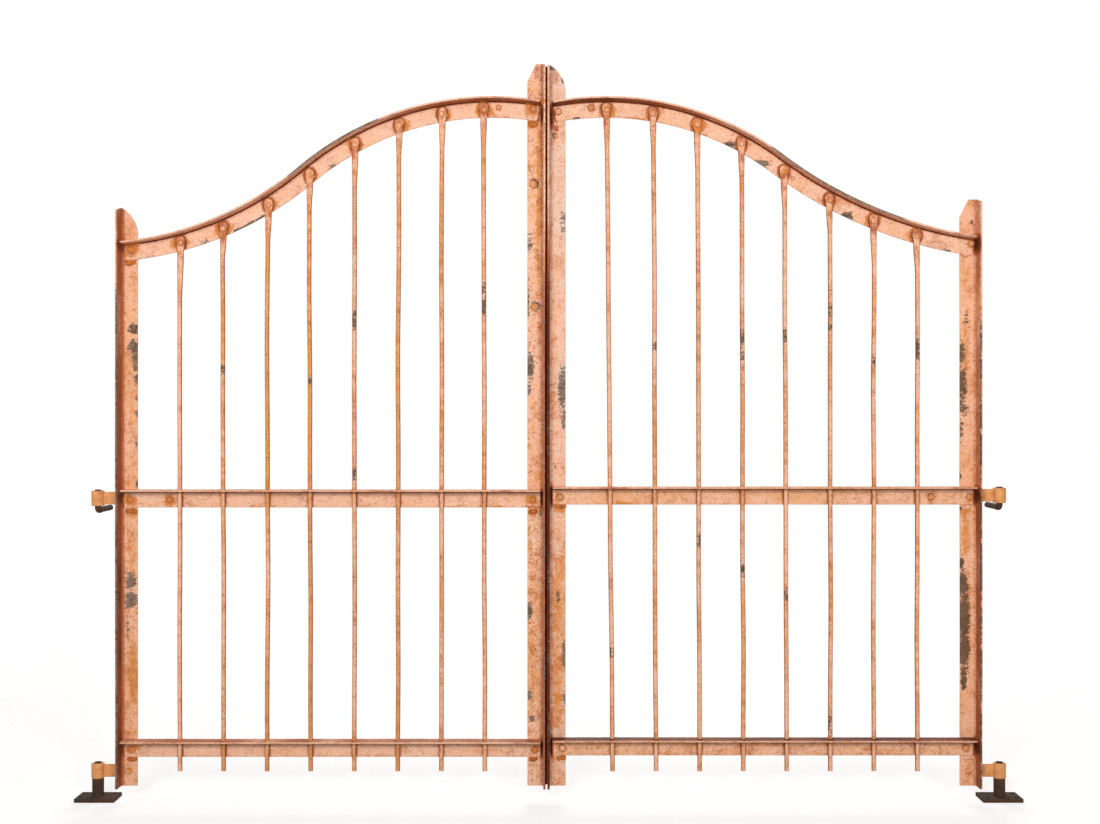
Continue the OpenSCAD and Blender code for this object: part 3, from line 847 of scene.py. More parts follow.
def close_end(bm, loop):
    """Closes an open end with one face."""
    bmesh.ops.edgeloop_fill(bm, edges=loop)


def cut_across(bm, point, normal, clear):
    """Cuts every face along a plane and, with clear, takes away what lies beyond it."""
    geom = bm.verts[:] + bm.edges[:] + bm.faces[:]
    bmesh.ops.bisect_plane(bm, geom=geom, plane_co=point, plane_no=normal, clear_outer=clear, dist=CUT_ROOM)


def cut_tip(bm, point, normal):
    """Cuts away what lies beyond a plane and closes the cut."""
    cut_across(bm, point, normal, True)
    open_edges = [e for e in bm.edges if e.is_boundary]
    bmesh.ops.holes_fill(bm, edges=open_edges, sides=0)


def drift_of(name):
    """Place in the noise that belongs to one piece, always the same for its name."""
    draw = random.Random(name)
    return Vector((draw.uniform(-40, 40), draw.uniform(-40, 40), draw.uniform(-40, 40)))


def hand_worked(bm, name, sway):
    """Lets a piece sway a little along its length and gives it the dents of old iron."""
    drift = drift_of(name)
    for vert in bm.verts:
        slow = noise.noise_vector(vert.co * SWAYS_A_METRE + drift)
        fast = noise.noise_vector(vert.co * DENTS_A_METRE + drift)
        vert.co += slow * sway + fast * DENT


def wear_layers(bm):
    """Attributes that carry the wear and the painted shade of a piece to its finish."""
    return {kind: bm.verts.layers.float.new(kind) for kind in WEAR}


def lay_stains(verts, layers, stains):
    """Lays stains on vertices, full in the middle and fading out past their radii."""
    for vert in verts:
        for stain in stains:
            reach = math.hypot((vert.co.x - stain.x) / stain.rx, (vert.co.z - stain.z) / stain.rz)
            if reach < STAIN_END:
                layer = layers[stain.kind]
                left = 1 - smooth(STAIN_FULL, STAIN_END, reach)
                vert[layer] = max(vert[layer], stain.strength * left)


def made_object(bm, name):
    """Object with the shape of a bmesh, which is used up."""
    mesh = bpy.data.meshes.new(name)
    bm.to_mesh(mesh)
    bm.free()
    made = bpy.data.objects.new(name, mesh)
    bpy.context.scene.collection.objects.link(made)
    return made


def add_piece(bm, name, place, body, finish, node=None):
    """Makes an object of a bmesh, sets it in its place and lets it ride on a body."""
    bmesh.ops.transform(bm, matrix=place, verts=bm.verts)
    bmesh.ops.recalc_face_normals(bm, faces=bm.faces)
    piece = made_object(bm, name)
    piece.data.materials.append(finish)
    piece.data.shade_smooth()
    piece.data.set_sharp_from_angle(angle=SHARP_ANGLE)
    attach(piece, body)
    if node:
        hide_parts(node)
    return piece


def add_leaf_piece(bm, leaf, piece, finish):
    """Adds a piece that stands for one of a leaf's nodes."""
    node = leaf.node(piece)
    return add_piece(bm, f"{node}_iron", leaf.place, leaf.body, finish, node)


def stile_wear(bm, leaf, piece, heel_x, hand, width):
    """Dirt and painted shade in the root, painted shade on the inner side of the edge leg and in the slot,
    ochre wash, chipped edges and stains of one stile.
    """
    name = leaf.node(piece)
    at_slot = piece == "meeting_stile"
    leg_depth = width - STILE_T
    layers = wear_layers(bm)
    drift = drift_of(name)
    chips_from, chips_share = EDGE_CHIPS[name]
    wash_above, wash_below = STILE_WASH[name]
    stains = list(STILE_STAINS[name])
    if at_slot:
        # A bare patch set off to one side of each bolt shows as a dark crescent beside its washer: worn paint
        # and a painted shadow of the bolt
        stains += [bare(x + 0.0035, z + 0.002, 0.58 * d, 0.60 * d, 1.4) for x, z, d in BOLTS[leaf.side]]
    for vert in bm.verts:
        from_heel = hand * (vert.co.x - heel_x)
        in_front = STILE_FACE - vert.co.y
        upright = Vector((0, 0, vert.co.z))
        low_down = 1 - smooth(LOW_DOWN, HIGH_UP, vert.co.z)
        slot_edge = at_slot and (from_heel <= INNER_SIDE or in_front > leg_depth - TOE_R)
        # The darkening of each vertex: thin dirt on the back, and dirt and painted shade on the front
        dirt = BACK_DIRT
        # Painted shade on the side of the edge leg that faces into the slot, running into dirt on its front
        # edge, and lighter higher up
        if slot_edge and in_front > -FACE_ROOM:
            slot_shade_and_dirt = blend(smooth(HEEL_R, STILE_T / 2, from_heel), 1.0, SLOT_EDGE_DIRT[leaf.side])
            dirt = slot_shade_and_dirt * (1 - 0.8 * smooth(SLOT_FULL_BELOW, SLOT_FADED_ABOVE, vert.co.z))
        elif from_heel > INNER_SIDE and in_front > -FACE_ROOM:
            # Dirt and painted shade in the root of the angle
            root = math.hypot(from_heel - STILE_T - ROOT_R / 2, in_front - ROOT_R / 2)
            # Painted shade on the inner side of the edge leg, patchy and darker low down
            leg_side = smooth(0.001, 0.004, in_front) * (1 - smooth(STILE_T, STILE_T + 0.002, from_heel))
            leg_shade = LEG_SHADE[leaf.side] + 0.3 * noise.noise(upright * 7 + drift) + 0.24 * low_down
            dirt = max(ROOT_DIRT_AND_SHADE[name] * (1 - smooth(0.003, 0.011, root)), leg_shade * leg_side)
        vert[layers["dirt_and_shade"]] = dirt
        wash = blend(low_down, wash_above, wash_below)
        vert[layers["wash"]] = wash + 0.30 * noise.noise(upright * 3 + drift)
        front_edge = smooth(leg_depth - 0.006, leg_depth - 0.002, in_front)
        rough = 0.5 * noise.noise(upright * 12 - drift) + 0.3 * noise.noise(vert.co * 60 - drift)
        chipped = 1 - smooth(chips_from - CHIP_FADE, chips_from + CHIP_FADE, vert.co.z)
        chipped *= 0.3 + chips_share + rough
        vert[layers["bare"]] = front_edge * min(0.9, max(0.0, chipped))
        edge = smooth(width - 0.012, width, from_heel)
        vert[layers["rust"]] = max(0.0, 0.30 * edge * (0.5 + noise.noise(vert.co * 14 + drift)))
    lay_stains(bm.verts, layers, stains)


def stile_iron(leaf, piece, rounded, finish):
    """Upright angle iron with its edge leg on the outer side and a rounded or cut tip."""
    low, high = leaf.box(piece)
    hand = 1 if piece == "hinge_stile" else -1
    heel_x = low.x if hand == 1 else high.x
    width = high.x - low.x
    at_slot = piece == "meeting_stile"
    if at_slot and leaf.side == "right":
        heel_x += SLOT_REACH
    bm = bmesh.new()
    place = Matrix.Translation((heel_x, STILE_BACK, low.z)) @ Matrix.Diagonal((hand, -1, 1, 1))
    foot = angle_section(bm, width, STILE_T, place)
    top = draw_out(bm, foot, Vector((0, 0, high.z - low.z)), GRID)
    close_end(bm, foot)
    close_end(bm, top)
    toe_x = heel_x + hand * width
    if rounded:
        centre = Vector((toe_x - hand * TIP_R, 0, high.z - TIP_H))
        last = math.asin(TIP_H / TIP_R)
        for facet in range(TIP_FACETS):
            angle = last * (facet + 0.5) / TIP_FACETS
            normal = Vector((hand * math.cos(angle), 0, math.sin(angle)))
            cut_tip(bm, centre + TIP_R * normal, normal)
    else:
        normal = Vector((hand * CHAMFER_H, 0, CHAMFER_W)).normalized()
        cut_tip(bm, Vector((toe_x, 0, high.z - CHAMFER_H)), normal)
    leg_depth = width - STILE_T
    cut_tip(bm, Vector((0, STILE_FACE, high.z)), Vector((0, -TIP_DROP, leg_depth)).normalized())

    stile_wear(bm, leaf, piece, heel_x, hand, width)
    hand_worked(bm, leaf.node(piece), SLOT_SWAY if at_slot else SWAY)
    return add_leaf_piece(bm, leaf, piece, finish)


def rail_wear(bm, name, depth_of, to_end, wash, underside_shade, face_dirt, flange_bare=(), lower_bare=()):
    """Painted shade under the flange, dirt and painted shade in the root and at the ends, rust along the
    lower edge, and bare stretches of both edges.
    """
    layers = wear_layers(bm)
    drift = drift_of(name)
    lowest = max(depth_of(v.co) for v in bm.verts)
    for vert in bm.verts:
        depth = depth_of(vert.co)
        in_front = RAIL_FACE - vert.co.y
        below_flange = smooth(RAIL_T * 0.85, RAIL_T, depth)
        # Painted shade on the underside of the flange
        underside = smooth(*FLANGE_START, in_front) * below_flange
        # Dirt and painted shade in the root under the flange, and at the ends where the rail meets the stiles
        from_root = math.hypot(max(0.0, in_front), 1.9 * (depth - RAIL_T))
        near_root = (1 - smooth(*ROOT_FADE, from_root)) * below_flange * smooth(-FACE_ROOM, 0.0, in_front)
        edge_dirt = 0.12 + 0.35 * noise.noise(vert.co * 13 - drift)
        front_edge = smooth(*FLANGE_EDGE, in_front) * (1 - smooth(RAIL_T * 0.7, RAIL_T * 1.1, depth))
        end_dirt_and_shade = 0.9 * (1 - smooth(*END_FADE, to_end(vert.co)))
        vert[layers["dirt_and_shade"]] = max(underside_shade(vert.co.x) * underside, 0.85 * near_root, end_dirt_and_shade,
                                    edge_dirt * front_edge, face_dirt)
        vert[layers["wash"]] = wash + 0.30 * noise.noise(vert.co * 6 + drift)
        lower_edge = smooth(*(lowest - above for above in LOWER_RUST), depth)
        patchy = 0.25 + noise.noise(vert.co * 9 + drift) + 0.7 * noise.noise(vert.co * 34 + drift)
        vert[layers["rust"]] = max(0.0, 0.7 * lower_edge * patchy)
        if any(start < vert.co.x < end for start, end in flange_bare):
            vert[layers["bare"]] = front_edge
        if any(start < vert.co.x < end for start, end in lower_bare):
            vert[layers["bare"]] = 0.9 * smooth(*(lowest - above for above in LOWER_CHIP), depth)
    return layers


def rivet_halos(leaf):
    """Rust, and dirt with painted contact shade, round the rivets and the heads of the bars on a top rail,
    and its bare patches.
    """
    halos = []
    draw = random.Random(f"{leaf.side} halos")
    share = 1.0 if leaf.side == "left" else 0.85
    for number in BAR_NUMBERS:
        x, top = leaf.end_middle(f"bar_{number}", True)
        z = top - HEAD_RISE
        halos.append(rust(x + draw.uniform(-0.008, 0.008), z, 0.026, 0.026, share * draw.uniform(0.6, 1)))
        halos.append(rust(x + leaf.hand * 0.017, z - 0.002, 0.015, 0.017, share * draw.uniform(0.5, 0.85)))
        # Dirt and painted contact shade round the head of the bar
        halos.append(dirt_and_shade(x, z + 0.001, 0.0170, 0.0210, 1.25))
    for (x, strength), depth in zip(END_RIVETS[leaf.side]["top"], TOP_RIVET_DEPTHS[leaf.side]):
        halos.append(rust(x, leaf.rail_z(x, depth), TOP_BLOOM_R, TOP_BLOOM_R, strength))
        # Dirt and painted contact shade round the rivet
        halos.append(dirt_and_shade(x, leaf.rail_z(x, depth), RIVET_RING_R, RIVET_RING_R, RIVET_RING_DIRT_AND_SHADE))
    for x, half, strength in RAIL_PATCHES[leaf.side]:
        halos.append(bare(x, leaf.rail_z(x, 0.048), half, 0.015, strength))
    for x, depth, diameter in SPARE_RIVETS[leaf.side]:
        halos.append(rust(x, leaf.rail_z(x, depth), diameter, diameter, 0.6))
        # Dirt and painted contact shade round the spare rivet
        halos.append(dirt_and_shade(x, leaf.rail_z(x, depth), diameter * 0.65, diameter * 0.65, 0.7))
    return halos


# Turns the section of an angle iron so that its face leg points down and its flange to the front
LEGS_DOWN_AND_FRONT = Matrix(((0, 0, -1, 0), (0, -1, 0, 0), (-1, 0, 0, 0), (0, 0, 0, 1)))


def top_rail_iron(leaf):
    """Curved angle iron: a crown near the slot that runs out into a dip near the hinge."""
    low, high = leaf.box("top_rail")
    name = leaf.node("top_rail")
    width = high.y - low.y
    crown = Vector((leaf.crown_x, 0, leaf.crown_z))
    dip = Vector((leaf.dip_x, 0, leaf.dip_z))
    start = math.asin((high.x - leaf.crown_x) / CROWN_R)
    dip_sweep = leaf.turn - math.asin((low.x - leaf.dip_x) / leaf.dip_r)
    bm = bmesh.new()
    place = (Matrix.Translation(crown) @ Matrix.Rotation(start, 4, "Y")
             @ Matrix.Translation((0, RAIL_BACK, CROWN_R)) @ LEGS_DOWN_AND_FRONT)
    first = angle_section(bm, width, RAIL_T, place)
    bend = bend_round(bm, first, crown, -(start + leaf.turn), CROWN_R, GRID)
    last = bend_round(bm, bend, dip, dip_sweep, leaf.dip_r, GRID)
    close_end(bm, first)
    close_end(bm, last)
    at_hinge, at_slot = FLANGE_UNDERSIDE_SHADE[leaf.side]
    layers = rail_wear(bm, name, lambda co: leaf.rail_depth(co.x, co.z),
                       lambda co: min(co.x - low.x, leaf.to_crown_end(co, start)),
                       RAIL_WASH[leaf.side]["top"],
                       lambda x: blend(smooth(0.70, 1.12, x), at_hinge, at_slot), FACE_DIRT,
                       FLANGE_BARE[leaf.side], LOWER_BARE[leaf.side])
    halos = rivet_halos(leaf)
    behind = [v for v in bm.verts if v.co.y > RAIL_BACK - RAIL_T / 2]
    in_front = [v for v in bm.verts if RAIL_FACE - ROOT_R < v.co.y <= RAIL_BACK - RAIL_T / 2]
    lay_stains(in_front, layers, halos)
    lay_stains(behind, layers, [halo for halo in halos if halo.kind != "dirt_and_shade"])
    hand_worked(bm, name, SWAY)
    return add_leaf_piece(bm, leaf, "top_rail", rail_paint)


def punched(bm, punches):
    """Cuts a set of punches out of a piece and returns what is left of it."""
    bmesh.ops.recalc_face_normals(bm, faces=bm.faces)
    blank, punch = made_object(bm, "blank"), made_object(punches, "punch")
    holes = blank.modifiers.new("holes", "BOOLEAN")
    holes.operation = "DIFFERENCE"
    holes.solver = "EXACT"
    holes.object = punch
    cut = bmesh.new()
    cut.from_object(blank, bpy.context.evaluated_depsgraph_get())
    for scrap in (blank, punch):
        mesh = scrap.data
        bpy.data.objects.remove(scrap)
        bpy.data.meshes.remove(mesh)
    return cut


def bar_punches(leaf, flange_z):
    """Round punches where the bars pass through a flange."""
    punches = bmesh.new()
    for number in BAR_NUMBERS:
        x = leaf.bar_x(number, flange_z)
        radius = BAR_D / 2 + HOLE_ROOM
        bmesh.ops.create_cone(punches, cap_ends=True, segments=2 * BAR_SIDES, radius1=radius, radius2=radius,
                              depth=4 * RAIL_T, matrix=Matrix.Translation((x, BAR_Y, flange_z)))
    return punches


def straight_rail_iron(leaf, row):
    """Straight angle iron with its flange on top, punched for the bars."""
    piece = f"{row}_rail"
    low, high = leaf.box(piece)
    name = leaf.node(piece)
    blank = bmesh.new()
    place = Matrix.Translation((low.x, RAIL_BACK, high.z)) @ LEGS_DOWN_AND_FRONT
    first = angle_section(blank, high.z - low.z, RAIL_T, place)
    last = draw_out(blank, first, Vector((high.x - low.x, 0, 0)), GRID)
    close_end(blank, first)
    close_end(blank, last)
    bm = punched(blank, bar_punches(leaf, high.z - RAIL_T / 2))
    layers = rail_wear(bm, name, lambda co: high.z - co.z, lambda co: min(co.x - low.x, high.x - co.x),
                       RAIL_WASH[leaf.side][row], lambda x: UNDERSIDE_SHADE,
                       BOTTOM_FACE_DIRT[leaf.side] if row == "bottom" else FACE_DIRT)
    drift = drift_of(name)
    top_dirt = BOTTOM_DIRT[leaf.side] if row == "bottom" else MIDDLE_DIRT
    for vert in bm.verts:
        if vert.co.z > high.z - RAIL_T / 2 and vert.co.y > low.y + TOE_R:
            vert[layers["dirt_and_shade"]] = top_dirt + 0.25 * noise.noise(vert.co * 11 + drift)
            vert[layers["wash"]] = FLANGE_WASH
    rivets = list(END_RIVETS[leaf.side][row])
    if row == "mid":
        rivets.append(STRAP_RIVETS[leaf.side])
    rivet_z = leaf.rivet_z(row)
    stains = [rust(x, rivet_z, 0.024, 0.020, strength) for x, strength in rivets]
    # Dirt and painted contact shade round the rivets
    stains += [dirt_and_shade(x, rivet_z, RIVET_RING_R, RIVET_RING_R, RIVET_RING_DIRT_AND_SHADE) for x, _ in rivets]
    # Dark stripes on the rail face behind each bar: painted shadow of the bar
    stains += [dirt_and_shade(leaf.bar_x(number, rivet_z), rivet_z, 0.0085, 0.080, 0.42) for number in BAR_NUMBERS]
    lay_stains([v for v in bm.verts if v.co.y > RAIL_FACE - ROOT_R], layers, stains)
    hand_worked(bm, name, RAIL_SWAY)
    return add_leaf_piece(bm, leaf, piece, rail_paint)


def bar_section(above_rivet, neck_length):
    """Width, depth, middle in Y and squareness of a bar at a height above its rivet."""
    shoulder = HEAD_RISE - HEAD_R
    head_y = RAIL_FACE - HEAD_T / 2
    if above_rivet > shoulder:
        corner = min(HEAD_R, above_rivet - shoulder)
        width = HEAD_W - 2 * HEAD_R + 2 * math.sqrt(HEAD_R ** 2 - corner ** 2)
        thin = blend(smooth(0.6, 1.0, corner / HEAD_R), 1.0, HEAD_TIP_THIN)
        return width, HEAD_T * thin, head_y, SQUARE
    if above_rivet > -FLAT_LENGTH:
        share = smooth(-FLAT_LENGTH, shoulder, above_rivet)
        return blend(share, NECK_W, HEAD_W), HEAD_T, head_y, SQUARE
    share = smooth(-FLAT_LENGTH - neck_length, -FLAT_LENGTH, above_rivet)
    return (blend(share, BAR_D, NECK_W), blend(share, BAR_D, HEAD_T), blend(share, BAR_Y, head_y),
            blend(share, ROUND, SQUARE))


def bar_bow(z, holds):
    """Bow of a bar at a height: none where it is held, and most in the middle of a long span."""
    for start, end in zip(holds, holds[1:]):
        if start <= z < end:
            length = end - start
            return BAR_BOW * min(1.0, length / FULL_BOW_SPAN) * math.sin(math.pi * (z - start) / length)
    return 0.0


def bar_wear(bm, leaf, number, rivet_z, rails_z):
    """Ochre wash, rust at the rails and the head, painted shade on the sides, dirt at the head, and chips of
    a bar that is still plain round.
    """
    layers = wear_layers(bm)
    drift = drift_of(leaf.node(f"bar_{number}"))
    wash = BAR_WASH[leaf.side][number - 1]
    chips = [(middle, half) for bar, middle, half in BAR_CHIPS[leaf.side] if bar == number]
    for vert in bm.verts:
        cosine, sine, z = vert.co
        near_rail = min(abs(z - rail_z) for rail_z in rails_z)
        at_head = smooth(-0.10, -0.01, z - rivet_z)
        patchy = 0.5 + noise.noise(Vector((0, 0, z * 9)) + drift)
        runs_down = wash + 0.55 * noise.noise(Vector((0, 0, z * 3)) + drift)
        vert[layers["wash"]] = runs_down * (1 - 0.7 * at_head)
        vert[layers["rust"]] = max(0.6 * (1 - smooth(0.004, 0.022, near_rail)), 0.55 * at_head * patchy)
        # Darker towards the left and right sides of the bar: painted shade
        edge = smooth(0.25, 0.95, abs(cosine) ** 2.3)
        smeared = at_head * (0.20 + 0.45 * noise.noise(Vector((cosine, sine, z * 45)) - drift))
        vert[layers["dirt_and_shade"]] = 0.05 + 0.72 * edge + max(0.0, smeared)
        chip = max([0.0] + [1 - smooth(0.6, 1.5, abs(z - middle) / half) for middle, half in chips])
        vert[layers["bare"]] = chip * (0.62 + 0.6 * noise.noise(Vector((cosine, sine, z * 30)) + drift))


def bar_iron(leaf, number):
    """Round bar with a foot below the bottom rail and a hammered head on the top rail."""
    piece = f"bar_{number}"
    name = leaf.node(piece)
    foot_x, foot_z = leaf.end_middle(piece, False)
    head_x, head_z = leaf.end_middle(piece, True)
    rivet_z = head_z - HEAD_RISE
    neck_length = BAR_NECKS[leaf.side][number - 1]
    neck_z = rivet_z - FLAT_LENGTH - neck_length
    bm = bmesh.new()
    bmesh.ops.create_circle(bm, segments=BAR_SIDES, radius=1, matrix=Matrix.Translation((0, 0, foot_z)))
    foot = bm.edges[:]
    shaft_top = draw_out(bm, foot, Vector((0, 0, neck_z - foot_z)), SHAFT_ROW)
    head_top = draw_out(bm, shaft_top, Vector((0, 0, head_z - neck_z)), HEAD_ROW)
    close_end(bm, foot)
    close_end(bm, head_top)

    rails_z = [leaf.box("bottom_rail")[1].z, leaf.box("mid_rail")[1].z]
    bar_wear(bm, leaf, number, rivet_z, rails_z)
    drift = drift_of(name)
    for vert in bm.verts:
        cosine, sine, z = vert.co
        width, depth, middle_y, square = bar_section(z - rivet_z, neck_length)
        out_x = math.copysign(abs(cosine) ** (2 / square), cosine) * width / 2
        out_y = math.copysign(abs(sine) ** (2 / square), sine) * depth / 2
        bow = bar_bow(z, [foot_z, *rails_z, neck_z])
        sway = noise.noise_vector(Vector((0, 0, z * 2.2)) + drift) * bow
        middle_x = blend((z - foot_z) / (rivet_z - foot_z), foot_x, head_x)
        vert.co = Vector((middle_x + out_x + sway.x, middle_y + out_y + sway.y, z))
        vert.co += noise.noise_vector(vert.co * DENTS_A_METRE + drift) * BAR_DENT
    return add_leaf_piece(bm, leaf, piece, bar_paint)


def added_by(bm, make):
    """Runs a making step and returns the vertices that it added."""
    before = set(bm.verts)
    make()
    return [vert for vert in bm.verts if vert not in before]


def facing(side):
    """Turns +Z towards the front or the back of the leaf."""
    return Matrix.Rotation(-side * math.pi / 2, 4, "X")


def button(bm, centre, side, diameter, height, sides=20, round_over=0.75):
    """Round head with a rounded-over top that stands out of a face."""
    place = Matrix.Translation(centre) @ facing(side) @ Matrix.Translation((0, 0, height / 2 - HEAD_SEAT))
    verts = bmesh.ops.create_cone(bm, cap_ends=True, segments=sides, radius1=diameter / 2,
                                  radius2=diameter / 2 * HEAD_TAPER, depth=height, matrix=place)["verts"]
    level = max(side * v.co.y for v in verts)
    edges = dict.fromkeys(e for v in verts for e in v.link_edges)
    rim = [e for e in edges if all(side * v.co.y > level - LEVEL_ROOM for v in e.verts)]
    round_off(bm, "EDGES", rim, height * round_over, 4)


def rivet_head(bm, layers, draw, x, z, plane, side, diameter, rusty):
    """Hammered rivet head, never quite round."""
    centre = Vector((x, plane, z))
    height = diameter * draw.uniform(0.30, 0.40)
    verts = added_by(bm, lambda: button(bm, centre, side, diameter, height))
    squeeze = Matrix.Diagonal((draw.uniform(0.93, 1.08), 1, draw.uniform(0.93, 1.08), 1))
    settle = Matrix.Translation(centre) @ squeeze @ Matrix.Translation(-centre)
    bmesh.ops.transform(bm, matrix=settle, verts=verts)
    for vert in verts:
        vert.co += noise.noise_vector(vert.co * HEAD_DENTS_A_METRE) * HEAD_DENT
        vert[layers["rust"]] = rusty
        vert[layers["wash"]] = RIVET_WASH
        # Dark foot of the head, where it meets the plate: painted contact shade
        vert[layers["dirt_and_shade"]] = 0.85 * (1 - smooth(height * 0.2, height * 0.6, side * (vert.co.y - plane)))


def add_rivet(bm, layers, draw, x, z, front, back, diameter, rusty):
    """Rivet with a head on the front plane and one on the back plane."""
    rivet_head(bm, layers, draw, x, z, front, FRONT, diameter, rusty)
    rivet_head(bm, layers, draw, x, z, back, BACK, diameter, rusty)


def rivets_iron(leaf):
    """All rivets of a leaf, with heads in front and behind, apart from the spare ones in front."""
    bm = bmesh.new()
    layers = wear_layers(bm)
    draw = random.Random(f"{leaf.side} rivets")
    for number in BAR_NUMBERS:
        x, top = leaf.end_middle(f"bar_{number}", True)
        rusty = draw.uniform(0.25, 0.75)
        add_rivet(bm, layers, draw, x, top - HEAD_RISE, HEAD_FRONT, RAIL_BACK, HEAD_RIVET_D, rusty)
    for row, ends in END_RIVETS[leaf.side].items():
        at_hinge = STILE_BACK + STRAP_T if row == "mid" else STILE_BACK
        for (x, rusty), depth, back in zip(ends, TOP_RIVET_DEPTHS[leaf.side], (at_hinge, leaf.slot_back)):
            z = leaf.rail_z(x, depth) if row == "top" else leaf.rivet_z(row)
            add_rivet(bm, layers, draw, x, z, RAIL_FACE, back, END_RIVET_D, rusty)
    x, rusty = STRAP_RIVETS[leaf.side]
    add_rivet(bm, layers, draw, x, leaf.rivet_z("mid"), RAIL_FACE, RAIL_BACK + STRAP_T, END_RIVET_D, rusty)
    for x, depth, diameter in SPARE_RIVETS[leaf.side]:
        rivet_head(bm, layers, draw, x, leaf.rail_z(x, depth), RAIL_FACE, FRONT, diameter, 0.5)
    heel_x = (leaf.hinge_edge + leaf.stile_inner) / 2
    heel_z = sum(c.z for c in leaf.box("heel_strap")) / 2
    add_rivet(bm, layers, draw, heel_x, heel_z, STILE_FACE, STILE_BACK + STRAP_T, END_RIVET_D, 0.6)
    return add_piece(bm, f"{leaf.side}_rivets", leaf.place, leaf.body, bar_paint)


def bolts_iron(leaf):
    """Round-headed bolts in the meeting stile, each on a washer and with a nut behind."""
    bm = bmesh.new()
    layers = wear_layers(bm)
    for x, z, washer in BOLTS[leaf.side]:
        front, back = Vector((x, STILE_FACE, z)), Vector((x, leaf.slot_back, z))
        for seat, side in ((front, FRONT), (back, BACK)):
            button(bm, seat, side, washer, WASHER_T, sides=24, round_over=0.3)
        button(bm, front + Vector((0, -WASHER_SEAT, 0)), FRONT, washer * BOLT_SHARE, BOLT_HEAD_H)
        button(bm, back + Vector((0, WASHER_SEAT, 0)), BACK, washer * NUT_SHARE, NUT_H,
               sides=6, round_over=0.12)
    for vert in bm.verts:
        for kind, share in BOLT_WEAR.items():
            vert[layers[kind]] = share
    return add_piece(bm, f"{leaf.side}_bolts", leaf.place, leaf.body, bar_paint)


def weld_lump(bm, draw, x, y, z, width, tall, thick):
    """One lump of a weld."""
    place = Matrix.Translation((x, y, z)) @ Matrix.Diagonal((width / 2, thick, tall / 2, 1))
    verts = bmesh.ops.create_icosphere(bm, subdivisions=3, radius=1, matrix=place)["verts"]
    drift = Vector((draw.uniform(-9, 9), 0, 0))
    for vert in verts:
        out = (vert.co - Vector((x, y, z))).normalized()
        for bumps_a_metre, height in WELD_BUMPS:
            vert.co += out * noise.noise(vert.co * bumps_a_metre + drift) * height


def weld_bead(bm, draw, x, y, z, width, tall):
    """Bead of weld that has run along an edge, as a few lumps that flow into each other."""
    for share in BEAD_LUMPS:
        big = draw.uniform(0.45, 0.58)
        drop = draw.uniform(-0.12, 0.12) * tall
        high = tall * draw.uniform(0.75, 1.05)
        weld_lump(bm, draw, x + share * width, y, z + drop, width * big, high, BEAD_T)


def rusty_welds_iron(leaf):
    """Rusted welds under the ends of the rails, and tacks beside the heads of the bars."""
    bm = bmesh.new()
    draw = random.Random(f"{leaf.side} welds")
    for x, z, width, tall in RUSTY_WELDS[leaf.side]:
        weld_bead(bm, draw, x, STILE_FACE, z, width, tall)
    for number in BAR_NUMBERS:
        x, top = leaf.end_middle(f"bar_{number}", True)
        for way in (-1, 1):
            size = draw.uniform(0.4, 1.0)
            z = top - HEAD_R + draw.uniform(-0.014, 0.004)
            reach = HEAD_W / 2 + draw.uniform(-0.002, 0.001)
            if draw.random() < TACK_CHANCE:
                weld_lump(bm, draw, x + way * reach, RAIL_FACE, z,
                          TACK_W * size, TACK_H * size, TACK_T * size)
    return add_piece(bm, f"{leaf.side}_welds", leaf.place, leaf.body, weld_rust)


def painted_welds_iron(leaf):
    """Welds that the paint still covers, with rust along their lower rim."""
    bm = bmesh.new()
    layers = wear_layers(bm)
    draw = random.Random(f"{leaf.side} painted welds")
    for x, z, width, tall in PAINTED_WELDS[leaf.side]:
        for vert in added_by(bm, lambda: weld_bead(bm, draw, x, STILE_FACE, z, width, tall)):
            vert[layers["rust"]] = 0.9 * (1 - smooth(-tall * 0.5, 0.0, vert.co.z - z))
            # Dark foot of the weld, where it meets the stile: painted contact shade
            vert[layers["dirt_and_shade"]] = 0.8 * (1 - smooth(0.0005, 0.0025, STILE_FACE - vert.co.y))
            vert[layers["wash"]] = 0.3
    return add_piece(bm, f"{leaf.side}_painted_welds", leaf.place, leaf.body, rail_paint)


def eye_ring(bm, place, bore_r, outer_r, height):
    """Barrel of an eye with rounded lips, about a hinge axis."""
    half = height / 2
    corners = [(bore_r, -half), (outer_r, -half), (outer_r, half), (bore_r, half)]
    profile = bmesh.new()
    verts = [profile.verts.new((x, 0, z)) for x, z in corners]
    profile.faces.new(verts)
    for vert, lip in zip(verts, (STRAP_EDGE, EYE_LIP, EYE_LIP, STRAP_EDGE)):
        round_off(profile, "VERTICES", [vert], lip, 4)
    bmesh.ops.delete(profile, geom=profile.faces[:], context="FACES_ONLY")
    bmesh.ops.spin(profile, geom=profile.edges[:], cent=(0, 0, 0), axis=(0, 0, 1), angle=2 * math.pi,
                   steps=EYE_SIDES, use_merge=True)
    bmesh.ops.transform(profile, matrix=place, verts=profile.verts)
    ring = bpy.data.meshes.new("eye")
    profile.to_mesh(ring)
    profile.free()
    bm.from_mesh(ring)
    bpy.data.meshes.remove(ring)


